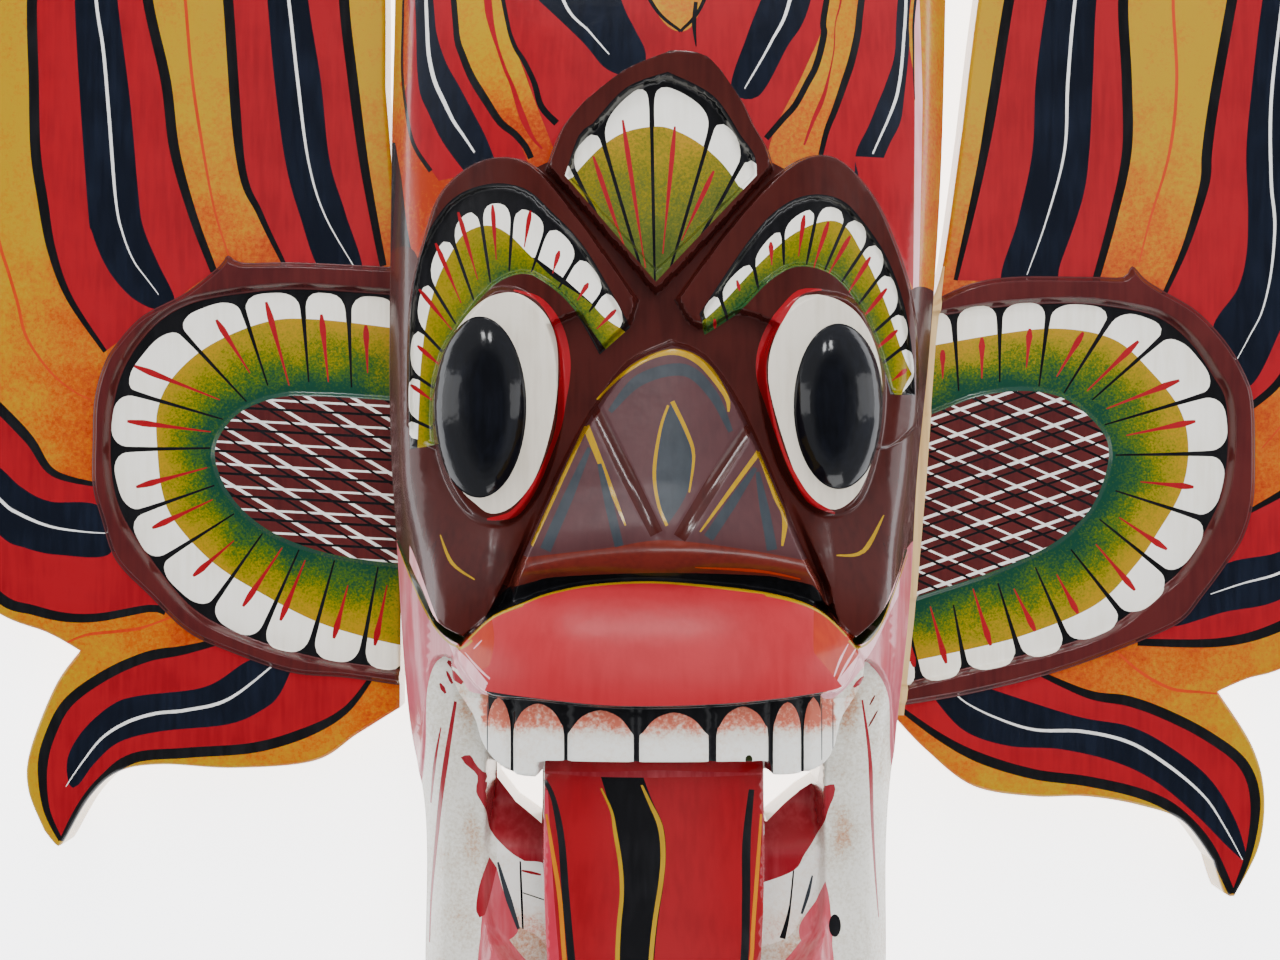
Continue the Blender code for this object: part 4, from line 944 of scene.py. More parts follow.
def relief(points, sharpness=1.0):
    """Height of the carved front over the back rim, in mm; less sharpness softens pupils and grooves."""
    x, y = points[:, 0], points[:, 1]

    def carved(z, loop, top, width=STEP_WIDTH):
        """Lead a surface over to a form's own top inside the form's outline."""
        share = smooth(depth_inside(points, loop, width + 1.0) / width)
        return z + (top - z) * share

    z = profile(y, MIDDLE_PROFILE) - SIDE_FALL * np.minimum(np.abs(x - 1) / SIDE_REACH, 1.2) ** 2.4
    z = carved(z, crest, CREST_TOP - CREST_CROWNING * x * x)
    z = carved(z, crest_field, CREST_FIELD_TOP - CREST_CROWNING * x * x)
    for side in (-1, 1):
        across = side * x
        bulge = smooth((4 - y) / 42) * smooth((across - 30) / 14) * (1.0 - smooth((across - 54) / 16))
        cheek = z + CHEEK_BULGE * bulge
        z = carved(z, folds[side], np.maximum(z, np.minimum(FOLD_TOP - FOLD_SLOPE * (across - 43), FOLD_TOP)))
        z = carved(z, cheeks[side], cheek)
        brow = BROW_TOP - BROW_FALL * smooth((across - 22) / 50)
        z = carved(z, brows[side], brow)
        z = carved(z, petal_fields[side], brow - PETALS_SUNK)
        z = carved(z, eyes[side], EYE_TOP - EYE_FALL * smooth((across - 25) / 40), EYE_EDGE)
    for centre_x, centre_y, half_width, half_height in PUPILS:
        reach = np.minimum(((x - centre_x) / half_width) ** 2 + ((y - centre_y) / half_height) ** 2, 1.0)
        z = z + PUPIL_RISE * sharpness * (1.0 - reach) * (1.0 + 0.45 * reach)
    bent = y + 4.5 * ((x - 1) / 36) ** 2
    ridge = profile(bent, NOSE_RIDGE) - NOSE_SLOPE * (np.hypot(x - 1.5, 8) - 8)
    groove = np.min([distance_to(points, path, 4.0) for path in NOSE_GROOVES], axis=0)
    cut = NOSE_GROOVE_DEPTH * sharpness * (1.0 - smooth(groove / NOSE_GROOVE_WIDTH))
    z = carved(z, nose, ridge - cut, NOSE_EDGE)
    z = carved(z, mouth, MOUTH_FLOOR + JAW_RISE * smooth((-84 - y) / 14), MOUTH_EDGE)
    tooth_front = TEETH_TOP - TEETH_FALL * (np.abs(x + 1) / 46) ** 2.5
    groove = np.min([np.abs(x - gap) for gap in TEETH_GAPS], axis=0)
    cut = TOOTH_GROOVE_DEPTH * sharpness * (1.0 - smooth(groove / TOOTH_GROOVE_WIDTH))
    z = carved(z, teeth, tooth_front - cut)
    z = carved(z, lip, LIP_CROWN - 0.02 * (y + 50) ** 2 - LIP_FALL * (np.abs(x) / 50) ** 3)
    z = carved(z, lower_lip, LOWER_LIP_CROWN - LOWER_LIP_FALL * (np.abs(x) / 46) ** 2, LOWER_LIP_EDGE)
    z = carved(z, tongue, profile(-y, TONGUE_PROFILE) - TONGUE_FALL * (np.abs(x + 2) / 28) ** 2)
    fall = 1.0 - np.clip(depth_inside(points, head_rim, EDGE_ROUNDING + 1) / EDGE_ROUNDING, 0.0, 1.0)
    return z - EDGE_DROP * fall * fall


# Face maroon: a deep brown red with a full gloss, and a lighter brown red under the nose
face_maroon = enamel("face_maroon_enamel", "3C1410", "2E0E0C", 0.22)
nose_under = enamel("nose_underside_enamel", "64281F", "521F1A", 0.25)
# Nose enamels: thin mauve and gray coats without varnish, so the nose looks satin beside the face
nose_mauve = enamel("nose_mauve_enamel", "442628", "3A1F22", 0.38, coat=0.0)
nose_gray = enamel("nose_gray_enamel", "2A3036", "20252B", 0.38, coat=0.0)
# Mouth reds: a satin vermilion lip, a glossy tongue with a pinker edge, and worn gums
lip_red = enamel("lip_red_enamel", "A0222A", "961A22", 0.34, coat=0.0)
tongue_red = enamel("tongue_red_enamel", "840C16", "760A12", 0.2)
tongue_edge = enamel("tongue_edge_enamel", "A41E34", "AC3044", 0.22)
gum_red = enamel("gum_red_enamel", "7E101C", "923038", 0.25)
corner_orange = enamel("corner_orange_enamel", "96200E", "A63010", 0.22)
# Pinks: the folds' red, lightened in part as painted reflection, and the lower lip's red worn thin over a
# white ground
fold_red_and_sheen = enamel("fold_red_and_sheen_enamel", "AC505C", "BC747C", 0.2)
lower_lip_pink = enamel("lower_lip_pink_enamel", "AA3E4A", "B8606A", 0.22)
# A pale pink, painted as highlight where an edge catches the light
painted_highlight_pink = enamel("painted_highlight_pink_enamel", "DDA9B0", "C87C88", 0.22)
# Line colours: golden yellow on the face and tongue, and an olive that sits in the creases
line_yellow = enamel("line_yellow_enamel", "9C7A00", "8C6A00")
tongue_yellow = enamel("tongue_yellow_enamel", "B06A00", "A45A00", 0.25)
olive_edge = enamel("olive_edge_enamel", "1E240A", "151A08", 0.25)
# Eyes: a warm white, and a black thick enough to mirror the windows
eye_white = enamel("eye_white_enamel", "D8D0C2", "C6BCAC", 0.2)
gloss_black = enamel("pupil_black_enamel", "090A0E", "101219", 0.12, 1.0, 0.0)
# Sponged bands on the brows and the crest's fan: yellow through olive to green
brow_band = sponged("sponged_brow_enamel", "leaf",
                    [(0.0, "867000"), (0.3, "6A6600"), (0.65, "425206"), (1.0, "0E3A16")], 0.6)
fan_green = sponged("sponged_fan_enamel", "leaf",
                    [(0.0, "967200"), (0.3, "726600"), (0.6, "505614"), (0.95, "384616")], 0.6)
# Stained whites: rubbed with red and brown at the gums and in the jaw's creases, so they look handled
stained_tooth = sponged("stained_tooth_enamel", "stain",
                        [(0.0, "DEDDD8"), (0.45, "D6CCC0"), (0.8, "C4806C"), (1.0, "B05A48")], 1.1)
stained_jaw = sponged("stained_jaw_enamel", "stain",
                      [(0.0, "D6D4CC"), (0.3, "C4BFB2"), (0.7, "B08A70"), (1.0, "9C5C44")], 0.9)


def filled(*patches):
    """Layers of flat colour, each given as a finish and the smooth paths that its outline runs along."""
    return [(finish, [point for path in paths for point in curve(path)]) for finish, *paths in patches]


def lined(*lines):
    """Layers of brush lines, each given as a finish, a path and its widths."""
    return [(finish, stroke(path, *widths)) for finish, path, widths in lines]


def round_loop(centre_x, centre_y, half_width, half_height, scale=1.0, count=72):
    """Points round an oval."""
    return [(centre_x + scale * half_width * math.cos(turn), centre_y + scale * half_height * math.sin(turn))
            for turn in np.linspace(0, math.tau, count, endpoint=False)]


head_layers = [(flame_ground, moved_out(head_outline, 6.0))]
# Jaw: white below the cheeks, with the mouth's red, pink and white inside
head_layers += [(stained_jaw, [(-90, -8), (-66, -14), (-50, -38), (50, -38), (64, -20), (90, -10),
                               (90, -210), (-90, -210)])]
# Crown flames: side flames, the two flames over the brows, and a middle flame
head_layers += filled((signal_red, [(-26.5, 82), (-29, 88.5), (-34.5, 103), (-41.5, 125), (-50, 170),
                                    (-50, 225), (-38, 268)],
                       [(-38, 268), (-30, 235), (-24, 205), (-14, 165), (-4, 127), (5, 116), (12, 127),
                        (20, 165), (28, 205), (34, 235), (45, 268)],
                       [(45, 268), (57, 225), (54, 175), (44, 125), (37.5, 107), (29.5, 91), (27, 82)]))
for core, white_line in (([(-32, 125), (-20.5, 113.5), (-14, 106), (-6, 104), (-4, 110), (-7, 117),
                           (-10.5, 125), (-20, 155), (-28, 190), (-36, 235), (-42, 205), (-41, 160),
                           (-32, 125)],
                          [(-34, 190), (-31, 150), (-25.5, 125), (-18.5, 116), (-13.5, 110)]),
                         ([(26, 125), (22, 114.5), (18, 101), (25, 99), (32.5, 112), (39, 125), (47, 165),
                           (50, 205), (44, 235), (36, 190), (30, 155), (26, 125)],
                          [(42, 190), (39, 155), (33.5, 125), (28.5, 113.5), (21.5, 101)])):
    head_layers += filled((night_navy, core)) + lined((line_white, white_line, (0.3, 1.0, 1.0, 0.3)))
head_layers += lined(
    (outline_black, [(-38, 268), (-50, 225), (-50, 170), (-41.2, 125), (-38.6, 114.1), (-35.4, 108.3),
                     (-32.8, 102.6), (-31, 96.5), (-27, 92)],
     (0.8, 1.4, 1.2, 1.5, 1.5, 1.0, 1.8)),
    (outline_black, [(-38, 268), (-30, 235), (-24, 205), (-14, 165), (-4, 127), (5, 116)],
     (0.8, 1.8, 1.8, 0.8)),
    (outline_black, [(5, 116), (12, 127), (20, 165), (28, 205), (34, 235), (45, 268)], (0.8, 1.8, 1.8, 0.8)),
    (outline_black, [(45, 268), (57, 225), (54, 175), (43.2, 125), (42.4, 116.1), (40.3, 107.8),
                     (37.7, 102.6), (34.6, 96.9), (31.4, 93.2), (27, 88)],
     (0.8, 1.2, 0.6, 0.8, 1.2, 1.8, 1.5)))
# The side flames: a red body, a dark core with a white line, and black lines of uneven width
head_layers += filled(
    (signal_red,
     [(-82, 219), (-74, 170), (-67, 125), (-65.7, 107), (-67.6, 104), (-67.5, 98.9), (-65.1, 89), (-58, 78)],
     [(-34.4, 82), (-38, 89.6), (-45.8, 99), (-52.1, 111.5), (-54.4, 125), (-58, 160), (-66, 195),
      (-82, 219)]),
    (night_navy, [(-74, 195), (-68, 160), (-65.1, 125), (-64.3, 109.4), (-63.3, 101.6), (-61, 96.3),
                  (-57.8, 89.6), (-54.7, 84.9), (-51, 80)],
     [(-42, 80), (-45.3, 88.5), (-49, 95.8), (-52.6, 102.6), (-56.3, 109.4), (-58.9, 117.2), (-59.9, 125),
      (-63, 155), (-74, 195)]),
    (signal_red, [(89, 219), (76, 170), (66, 125), (66.6, 104), (66, 81), (57, 76)],
     [(40, 82), (42.9, 90.6), (47.6, 103.1), (51.5, 117.2), (52.5, 125), (58, 160), (68, 195), (89, 219)]),
    (night_navy, [(76, 190), (66, 155), (62.4, 125), (61.4, 112), (59, 104.2), (56.4, 97.9), (53.8, 91.7),
                  (50.7, 85.4), (50.2, 79)],
     [(56, 79), (59.6, 87.5), (62.7, 93.7), (63.9, 101), (65.5, 114.6), (65.9, 125), (70, 160), (76, 190)]))
head_layers += [(signal_red, [(66.4, 84), (65.8, 50), (60, 60), (52, 76), (50, 84)]),
                (outline_black, [(-80, 94), (-70.8, 90), (-68.6, 80), (-66.6, 66), (-64, 54), (-80, 54)]),
                # A pale pink strip down the head's right side, painted as highlight
                (painted_highlight_pink, [(67.3, 135), (68.6, 135), (69, 100), (67.4, 48), (65.8, 48), (66.8, 100)])]
head_layers += lined(
    (line_white, [(-68, 165), (-63, 140), (-62, 125), (-61.6, 118.2), (-61, 111.5), (-59.4, 104.7),
                  (-56.8, 99), (-54.2, 93.7), (-51.1, 89.1), (-48.5, 85.1)],
     (0.3, 0.7, 0.8, 1.0, 1.1, 0.5)),
    (line_white, [(69, 160), (65.6, 140), (64.8, 125), (64, 116.1), (63.2, 108.3), (61.9, 101), (59.6, 94.8),
                  (57, 89.1), (55.1, 84.9)],
     (0.3, 0.7, 0.8, 0.8, 0.8, 0.4)),
    (outline_black,
     [(-75, 175), (-69.4, 140), (-68.9, 125), (-68.8, 109.4), (-67.5, 98.9), (-65.1, 88.5), (-60.2, 80.7)],
     (0.8, 1.0, 0.7, 0.8, 0.9, 1.2)),
    (outline_black, [(-82, 217), (-66, 193), (-58, 160), (-54.4, 125), (-53.4, 115.6), (-52.1, 111.5),
                     (-49.5, 105.2), (-45.8, 99), (-41.7, 92.7), (-38, 89.6), (-35, 86), (-33.6, 83)],
     (0.8, 2.2, 2.0, 1.6, 1.6, 1.6, 2.1, 1.6)),
    (outline_black, [(89, 217), (68, 193), (58, 160), (52.5, 125), (51.5, 117.2), (49.7, 109.4),
                     (47.6, 103.1), (45, 95.8), (42.9, 90.6), (41.2, 84)],
     (0.8, 2.2, 2.0, 1.8, 1.8, 2.0, 1.3)),
    (outline_black, [(89, 217), (77, 175), (68, 130), (66.6, 112), (66.8, 100)], (0.8, 2.0, 1.6, 0.8, 0.2)),
    (drop_red, [(-52, 165), (-46.5, 140), (-45.3, 125), (-44.3, 118.8), (-42.7, 113), (-40.6, 106.8),
                (-38.6, 102.1), (-36, 94.3), (-33.3, 88.5), (-30.7, 85.4)],
     (0.4, 0.8, 1.0, 1.9, 2.1, 0.8, 1.0, 1.8, 0.5)),
    (drop_red, [(58, 165), (49, 138), (47, 125), (45.5, 119.3), (45, 112), (43.4, 104.2), (41.9, 98.9),
                (39.2, 92.7), (36.9, 86.5)],
     (0.4, 1.2, 2.0, 0.8, 0.3, 0.4, 1.3, 0.5)))
head_layers += flame(
    [(5, 292), (-8, 262), (-13, 232), (-7, 195), (5, 152)],
    [(5, 292), (14, 262), (19, 232), (15, 195), (5, 152)],
    [(5, 268), (-3, 236), (-2, 206), (5, 178)],
    [(5, 178), (11, 206), (11, 236), (5, 268)],
    [(4, 250), (3, 225), (5, 195)])
head_layers += lined((outline_black, [(9, 124), (8.5, 118), (9, 112)], (1.0, 1.2, 0.3)))
# Face: maroon from the brows down to the cheeks' lower edges
face_edge = (curve(BROW_TOP_LEFT)[::-1]
             + curve([(-66.5, 14), (-75, 0), (-69, -16), (-62.5, -28), (-57.5, -36.5), (-50, -40.5)])
             + curve(LIP_TOP[1:-1]) + curve([(48.5, -41), (57, -33), (64, -18), (75, 0), (68, 14)])
             + curve(BROW_TOP_RIGHT))
head_layers.append((face_maroon, face_edge))
head_layers += filled((face_maroon, [(-80, 58), (-63.5, 58), (-62, 10), (-66, -13), (-70, -16), (-80, -16)]),
                      (face_maroon, [(80, 48), (64, 48), (62, 10), (62, -16), (66, -19), (80, -19)]))
head_layers += [(face_maroon, [(-36, 79), (-29, 82), (-1.5, 52), (28, 82), (34, 79), (3, 40), (-5, 40)])]
head_layers.append((face_maroon, closed(*CREST_SPANS)))

# Brow and crest fields: white petals with red drops over a sponged band
PETAL_PLACES = ((0.06, 0.75), (0.05, 0.38), (0.1, 0.2), (0.25, 0.1), (0.5, 0.07), (0.75, 0.1), (0.9, 0.2),
                (0.95, 0.38), (0.94, 0.75))


def petal_row(field, separators, drops, band, band_finish, squat=1.0):
    """Painted layers of a petal field; separators and drops run from the petals' tips to their roots."""
    layers = [(outline_black, field)]
    for (outer_a, inner_a), (outer_b, inner_b) in zip(separators, separators[1:]):
        places = [(across, down * squat) for across, down in PETAL_PLACES]
        layers.append((petal_white, petal_outline((outer_a, inner_a), (outer_b, inner_b), places), field))
    layers.append((band_finish, band, field))
    for outer_point, inner_point in separators[1:-1]:
        layers.append((outline_black, stroke([outer_point, inner_point], 1.7, 0.9, 0.8, 0.4), field))
    for outer_point, inner_point in drops:
        layers.append((drop_red, stroke([outer_point, inner_point], 0.5, 1.3, 1.0, 0.4, 0.3), field))
    return layers


petal_loops = {-1: curve(PETAL_EDGE_LEFT) + curve(LID_LEFT), 1: curve(PETAL_EDGE_RIGHT) + curve(LID_RIGHT)}
left_brow_separators = [
    ((-66.3, 10.5), (-58.4, 10)), ((-66.3, 16.4), (-58.4, 12.9)), ((-66, 28.6), (-58, 23.2)),
    ((-64.8, 41.7), (-55.5, 32)), ((-61.9, 54.4), (-53.1, 40.3)), ((-55.5, 66.5), (-48.2, 46.1)),
    ((-47.2, 72.5), (-43.8, 50.5)), ((-37.8, 72), (-38.9, 53.4)), ((-28.2, 66.8), (-33.1, 53)),
    ((-20.2, 58.6), (-26.2, 48.6)), ((-13.6, 49.5), (-18.4, 42.7)), ((-8.2, 40.8), (-14, 33.9))]
left_brow_drops = [
    ((-65, 24.7), (-58.9, 20.3)), ((-63.3, 34.9), (-56.5, 29)), ((-62.8, 49.5), (-54.1, 38.8)),
    ((-58.4, 61.3), (-51.6, 45.6)), ((-52.4, 69.1), (-47.2, 51.5)), ((-43.3, 70.5), (-42.3, 56.4)),
    ((-33.4, 68.6), (-35, 59.3)), ((-26, 58.2), (-27.7, 52.5)), ((-18.6, 50), (-21.4, 45.6)),
    ((-11.6, 43.2), (-16.5, 38.3))]
left_brow_band = curve([(-63.3, 8), (-62.8, 20.3), (-62.3, 30), (-60.9, 40.8), (-58, 51.5), (-54.5, 58.3),
                        (-51.1, 63.2), (-46.2, 65.2), (-42.3, 64.7), (-38.4, 62.2), (-33.6, 57.3),
                        (-27.7, 51.5), (-21.8, 47.6), (-17.9, 44.7), (-14, 40.8),
                        (-9.2, 37.8)]) + curve([(-14, 33)] + LID_LEFT[1:] + [(-58, 8)])
head_layers += petal_row(petal_loops[-1], left_brow_separators, left_brow_drops, left_brow_band, brow_band)
right_brow_separators = [((9.5, 43), (13, 38)), ((14, 48.6), (17.3, 39.5)), ((22.8, 57.2), (24.6, 48.2)),
                         ((30.8, 66), (31.1, 54.7)), ((40.5, 72), (36.9, 54.7)), ((49, 70), (41.6, 53.3)),
                         ((55, 63.6), (46, 50.4)), ((59.3, 56.2), (50.3, 44.6)), ((63, 45.3), (54, 37.3)),
                         ((65.2, 36.4), (55.8, 29)), ((66.5, 26), (60.5, 20))]
right_brow_drops = [((13.4, 40.9), (13.7, 38.4)), ((19.1, 50.7), (19.8, 48)), ((27.7, 60.5), (28, 54.6)),
                    ((36.4, 67.6), (34.9, 57)), ((42.8, 66.2), (38.7, 53.8)), ((48.6, 62.8), (42.6, 52.5)),
                    ((54, 57.6), (47.3, 47)), ((58.4, 49.6), (50.5, 40)), ((61.3, 38.9), (54, 32.5)),
                    ((63.8, 28.8), (59.8, 25.7))]
right_brow_band = curve([(10.3, 40.2), (15.5, 45), (23.3, 53.4), (29.3, 59.2), (33.8, 62.8), (39.5, 65.6),
                         (44.7, 66.4), (48.2, 64.2), (51.4, 59.1), (54, 54.7), (57.6, 46.8), (60.5, 38.9),
                         (62.3, 33.7), (65, 27.5)]) + curve([(61, 20)] + LID_RIGHT[::-1][1:] + [(9.5, 37)])
head_layers += petal_row(petal_loops[1], right_brow_separators, right_brow_drops, right_brow_band, brow_band)
fan_loop = closed([(-1.5, 50), (-24.5, 77)], *FAN_TOP, [(24, 77), (-1.5, 50)])
fan_separators = [((-29, 76), (-9, 50)), ((-24.2, 82.5), (-8.5, 50.8)), ((-16.6, 92), (-3.7, 48.1)),
                  ((-2.8, 104.5), (-1.7, 48.1)), ((14.4, 95), (1, 49.4)), ((22.4, 84.5), (3.1, 48.8)),
                  ((27, 76.5), (5, 50))]
fan_drops = [((-17.4, 82.5), (-8.5, 56)), ((-9.9, 91.7), (-4.1, 53.5)), ((3.4, 90), (0.3, 57.6)),
             ((13.3, 78.7), (5.1, 61)), ((17.7, 69.2), (14, 62))]
fan_band = curve([(-27, 72), (-25.2, 74), (-20.8, 79.4), (-15.3, 84.9), (-9.2, 88.6), (-1, 90), (4.4, 88.6),
                  (9.9, 85.5), (15.3, 80.8), (19.4, 75.3), (22.5, 70)]) + [(0, 45)]
head_layers += petal_row(fan_loop, fan_separators, fan_drops, fan_band, fan_green, 0.4)
for side, rim_path, rim_widths in ((-1, [(-37.5, 48.1), (-31.6, 46.1), (-27.7, 41.7), (-25.4, 35.9),
                                         (-24.5, 29), (-25.2, 21.2), (-26.2, 13.4), (-29.2, 4.6),
                                         (-32.6, -2.2), (-37.5, -8.5), (-44.3, -10)],
                                    (0.4, 1.4, 2.4, 2.6, 2.4, 1.5, 1.0, 1.0, 1.8, 2.0, 0.5)),
                                   (1, [(40.7, 48.4), (35.1, 47.6), (31, 43.1), (27.4, 37.3), (25.5, 31.5),
                                        (25.4, 25.7), (26.8, 19.9), (29, 12), (32.5, 3), (37.5, -5),
                                        (44, -8.5)],
                                    (0.4, 1.6, 2.8, 2.6, 2.2, 1.5, 1.0, 0.8, 1.2, 1.6, 0.5))):
    head_layers.append((eye_white, closed(EYE_WHITES[side])))
    head_layers.append((drop_red, stroke(rim_path, *rim_widths)))
PUPIL_PAINT = 1.01
for pupil in PUPILS:
    head_layers.append((gloss_black, round_loop(*pupil, PUPIL_PAINT)))
NOSE_LOWER_RIM = [(-35, -19), (-14, -16.5), (0, -14.5), (18, -16.5), (37, -20)]
head_layers.append((nose_mauve, closed([(2.5, 34), (-8, 29), (-16, 19), (-24, 5), (-30, -8), (-35, -19)],
                                       NOSE_LOWER_RIM,
                                       [(37, -20), (34, -13), (26.5, 4), (18, 21), (10.5, 31), (2.5, 34)])))
BAND_TOP = [(-45, -36), (-40.4, -28.5), (-36.6, -26.5), (-31.4, -25), (-25.5, -23.8), (0, -22.8),
            (24.3, -23.5), (29.9, -24.4), (35.7, -25.6), (38.6, -27.3), (44, -36)]
head_layers.append((nose_under, curve(NOSE_LOWER_RIM) + curve(BAND_TOP)[::-1]))
head_layers += filled((outline_black, BAND_TOP,
                       [(47, -40), (38, -32), (25, -28), (1, -25.5), (-16, -26), (-27, -28), (-34, -30.5),
                        (-42, -34), (-49, -40)]))
head_layers += lined(
    (vermilion_line, [(8, -21.4), (24, -22.4), (34, -24.4)], (0.2, 0.8, 0.3)),
    (line_yellow, [(-16.5, 20.5), (-10, 26.5), (-2.5, 31), (4.5, 32), (11, 28.5), (16, 21), (16.5, 17)],
     (0.5, 1.2, 1.5, 2.4, 0.5)),
    (nose_gray, [(-13, 17), (-5.5, 25), (5.5, 27.5), (12.5, 21.5), (17, 12)], (1.2, 3.0, 3.2, 2.6, 1.2)),
    (line_yellow, [(-19, 13.5), (-32, -16)], (1.2, 1.1, 1.0)),
    (line_yellow, [(-19, 13.5), (-9, -11)], (1.8, 1.4, 0.4)),
    (nose_gray, [(-18, 8), (-28.5, -17)], (1.0, 2.6, 2.8)),
    (nose_gray, [(-15.5, 4), (-10.5, -16)], (1.0, 2.2, 2.2)),
    (line_yellow, [(24, 7), (9, -12.5)], (1.3, 1.0, 0.4)),
    (line_yellow, [(24, 7), (28, -4), (30, -8.5), (29, -16)], (1.2, 1.4, 1.9, 0.5)),
    (nose_gray, [(23, 3), (11, -14)], (1.0, 2.4, 2.6)),
    (nose_gray, [(23.5, 2), (26.5, -17)], (1.0, 2.4, 2.6)),
    (line_yellow, [(-56.5, -14), (-53, -21), (-47, -25)], (0.3, 0.9, 0.3)),
    (line_yellow, [(44, -19), (51, -18), (57, -9)], (0.3, 1.2, 0.3)))
for path in NOSE_GROOVES:
    head_layers.append((face_maroon, stroke(path, 2.0, 3.8, 3.2)))
head_layers += filled((nose_gray, [(2.5, 19.5), (-0.5, 12.5), (-2, 2), (-1, -6), (1, -11)],
                       [(1, -11), (6, -3), (7.5, 7), (2.5, 19.5)]))
head_layers += lined((line_yellow, [(1.5, 18.5), (-0.5, 12.5), (-2, 2), (-1, -6), (1, -11)], (0.6, 0.9, 0.7)),
                     (line_yellow, [(2.5, 19.5), (6, 12), (7.7, 6), (6.5, -3)], (1.1, 0.9, 0.4)))
# The folds at the mouth's corners: red paint, lightened to pink in part as painted reflection
for side in (-1, 1):
    head_layers.append((fold_red_and_sheen, closed(*FOLD_SPANS[side])))
head_layers += filled(
    (stained_jaw,
     [(-59.4, -84), (-59.1, -62), (-58.5, -52.4), (-56.2, -45.4), (-52, -48.5), (-44, -54), (-44, -84)]),
    (stained_jaw, [(57.5, -84), (57, -62), (55.5, -52), (52.5, -46.5), (48, -50), (42, -54), (42, -84)]),
    (lip_red, LIP_TOP, LIP_EDGE),
    (corner_orange,
     [(-42.1, -34), (-41.2, -39), (-42.4, -45.4), (-45.4, -46.4), (-48.5, -45), (-51.5, -41.5)]),
    (corner_orange, [(37.3, -31), (36.7, -41.3), (38.2, -45.4), (40, -49.5), (42.5, -50.5), (45, -47),
                     (47.5, -44), (50, -41)]),
    # Pale pink patches at the mouth's corners, painted as highlight
    (painted_highlight_pink, [(-65.3, -17), (-63, -21), (-55.6, -36.5), (-52.1, -41), (-47.4, -44.6), (-42.1, -50.1),
                    (-39.1, -53.3), (-43.8, -53), (-47.9, -52.4), (-49.7, -49.5), (-53.8, -42.3),
                    (-58.5, -33), (-65.3, -21.3)]),
    (painted_highlight_pink, [(62.5, -20), (60.6, -23.6), (53.5, -36), (49.4, -42), (46.4, -45.2), (41.7, -49.9),
                    (38.8, -52.8), (41.2, -54.2), (44.7, -52.4), (49.4, -47.7), (53.5, -43), (57, -37.3),
                    (61.5, -30)]))
head_layers += lined(
    # Pale pink streaks at the lip's corners, painted as highlight
    (painted_highlight_pink, [(-50.6, -43), (-47, -46.5), (-43.5, -50.6)], (0.2, 0.7, 0.2)),
    (painted_highlight_pink, [(-48.8, -42.6), (-45.5, -45.8), (-41.5, -49)], (0.2, 0.6, 0.2)),
    (painted_highlight_pink, [(-46.5, -41.6), (-44.4, -39.4)], (0.2, 0.4, 0.2)),
    (painted_highlight_pink, [(-43.2, -47.6), (-38, -51.8)], (0.2, 0.9, 0.2)),
    (painted_highlight_pink, [(45.8, -40.4), (43.5, -44), (41.6, -48.4)], (0.2, 0.6, 0.2)),
    (painted_highlight_pink, [(48, -41.4), (45, -45.4), (42.6, -49.2)], (0.2, 0.7, 0.2)),
    (painted_highlight_pink, [(39.4, -49.6), (33, -51.8)], (0.2, 0.8, 0.2)),
    (line_yellow, LIP_TOP[1:-1], (0.5, 0.9, 0.9, 0.9, 0.5)),
    (olive_edge, [(-69.5, -16), (-63, -28), (-58, -36), (-53, -40), (-50, -40.5)], (0.8, 1.6, 2.4, 1.6)),
    (olive_edge, [(64, -18), (57, -33), (53, -39), (48.5, -41)], (0.8, 1.6, 2.4, 1.6)),
    (line_yellow, [(-69, -18), (-63.4, -29.3), (-58.6, -37.3), (-53.4, -41.6), (-49.6, -41.6), (-47, -39.6)],
     (0.2, 0.4, 0.5, 0.7, 0.6)),
    (line_yellow, [(64.4, -19.4), (57.6, -34.4), (53, -40.6), (49, -42), (46, -39.6)], (0.2, 0.4, 0.6, 0.6)),
    (gum_red, [(-55, -46.6), (-52.4, -48.6), (-49.7, -50.6)], (0.8, 2.2, 1.0)),
    (gum_red, [(-55.3, -49.2), (-53.8, -52.4)], (0.4, 1.0, 0.6)),
    (gum_red, [(-57.1, -52.4), (-55.6, -55)], (0.5, 1.3, 0.6)),
    (gum_red, [(-53, -57), (-55.5, -71), (-58, -86.5), (-60.4, -107.5), (-60.8, -121.5)],
     (0.8, 1.4, 1.2, 0.8, 0.4)),
    (gum_red, [(-57, -64), (-59, -74), (-60.6, -85)], (0.3, 0.9, 0.5)),
    (gum_red, [(47.6, -51.6), (51.1, -48.9)], (0.5, 1.6, 0.6)),
    (gum_red, [(51.6, -56.5), (54, -72), (55.2, -90), (57, -114.5)], (0.4, 1.2, 0.8, 0.3)),
    (nose_under, [(55, -55.4), (53.6, -57.9)], (0.3, 0.6, 0.3)),
    (nose_under, [(55.8, -59.5), (53.4, -63.6)], (0.3, 0.7, 0.3)))

# Mouth: dark gum line, teeth, gums, lower teeth, lower lip and tongue
head_layers += filled(
    (gum_red, [(-51.9, -71.7), (-49.4, -71), (-47.2, -74.2), (-41.8, -78.6), (-36.3, -83.6), (-29, -86),
               (-29, -101.6), (-36.3, -98.8), (-41.4, -95.2), (-44.7, -91.6), (-45.7, -85.1), (-47.9, -80.7),
               (-47.5, -76.4), (-50.6, -73.5)]),
    (gum_red, [(39.6, -77), (41, -79), (44.6, -78.5), (44.6, -81.5), (43.2, -85.1), (41, -92.3),
               (37.4, -97.4), (34.5, -101.7), (25, -105.6), (25, -90), (33.8, -85.1), (36.7, -82.9)]),
    (stained_tooth, [(-42.8, -94), (-37.1, -98.8), (-29, -101.7), (-28, -121.5), (-32.7, -118.3),
                     (-37.1, -116), (-40.7, -108), (-42.8, -99)]),
    (stained_tooth, [(25, -105.3), (34.5, -101.7), (41, -95.2), (41, -101), (39.6, -107.5), (36.7, -113.5),
                     (33.1, -119), (25, -122)]))
head_layers.append((lower_lip_pink, lower_lip))
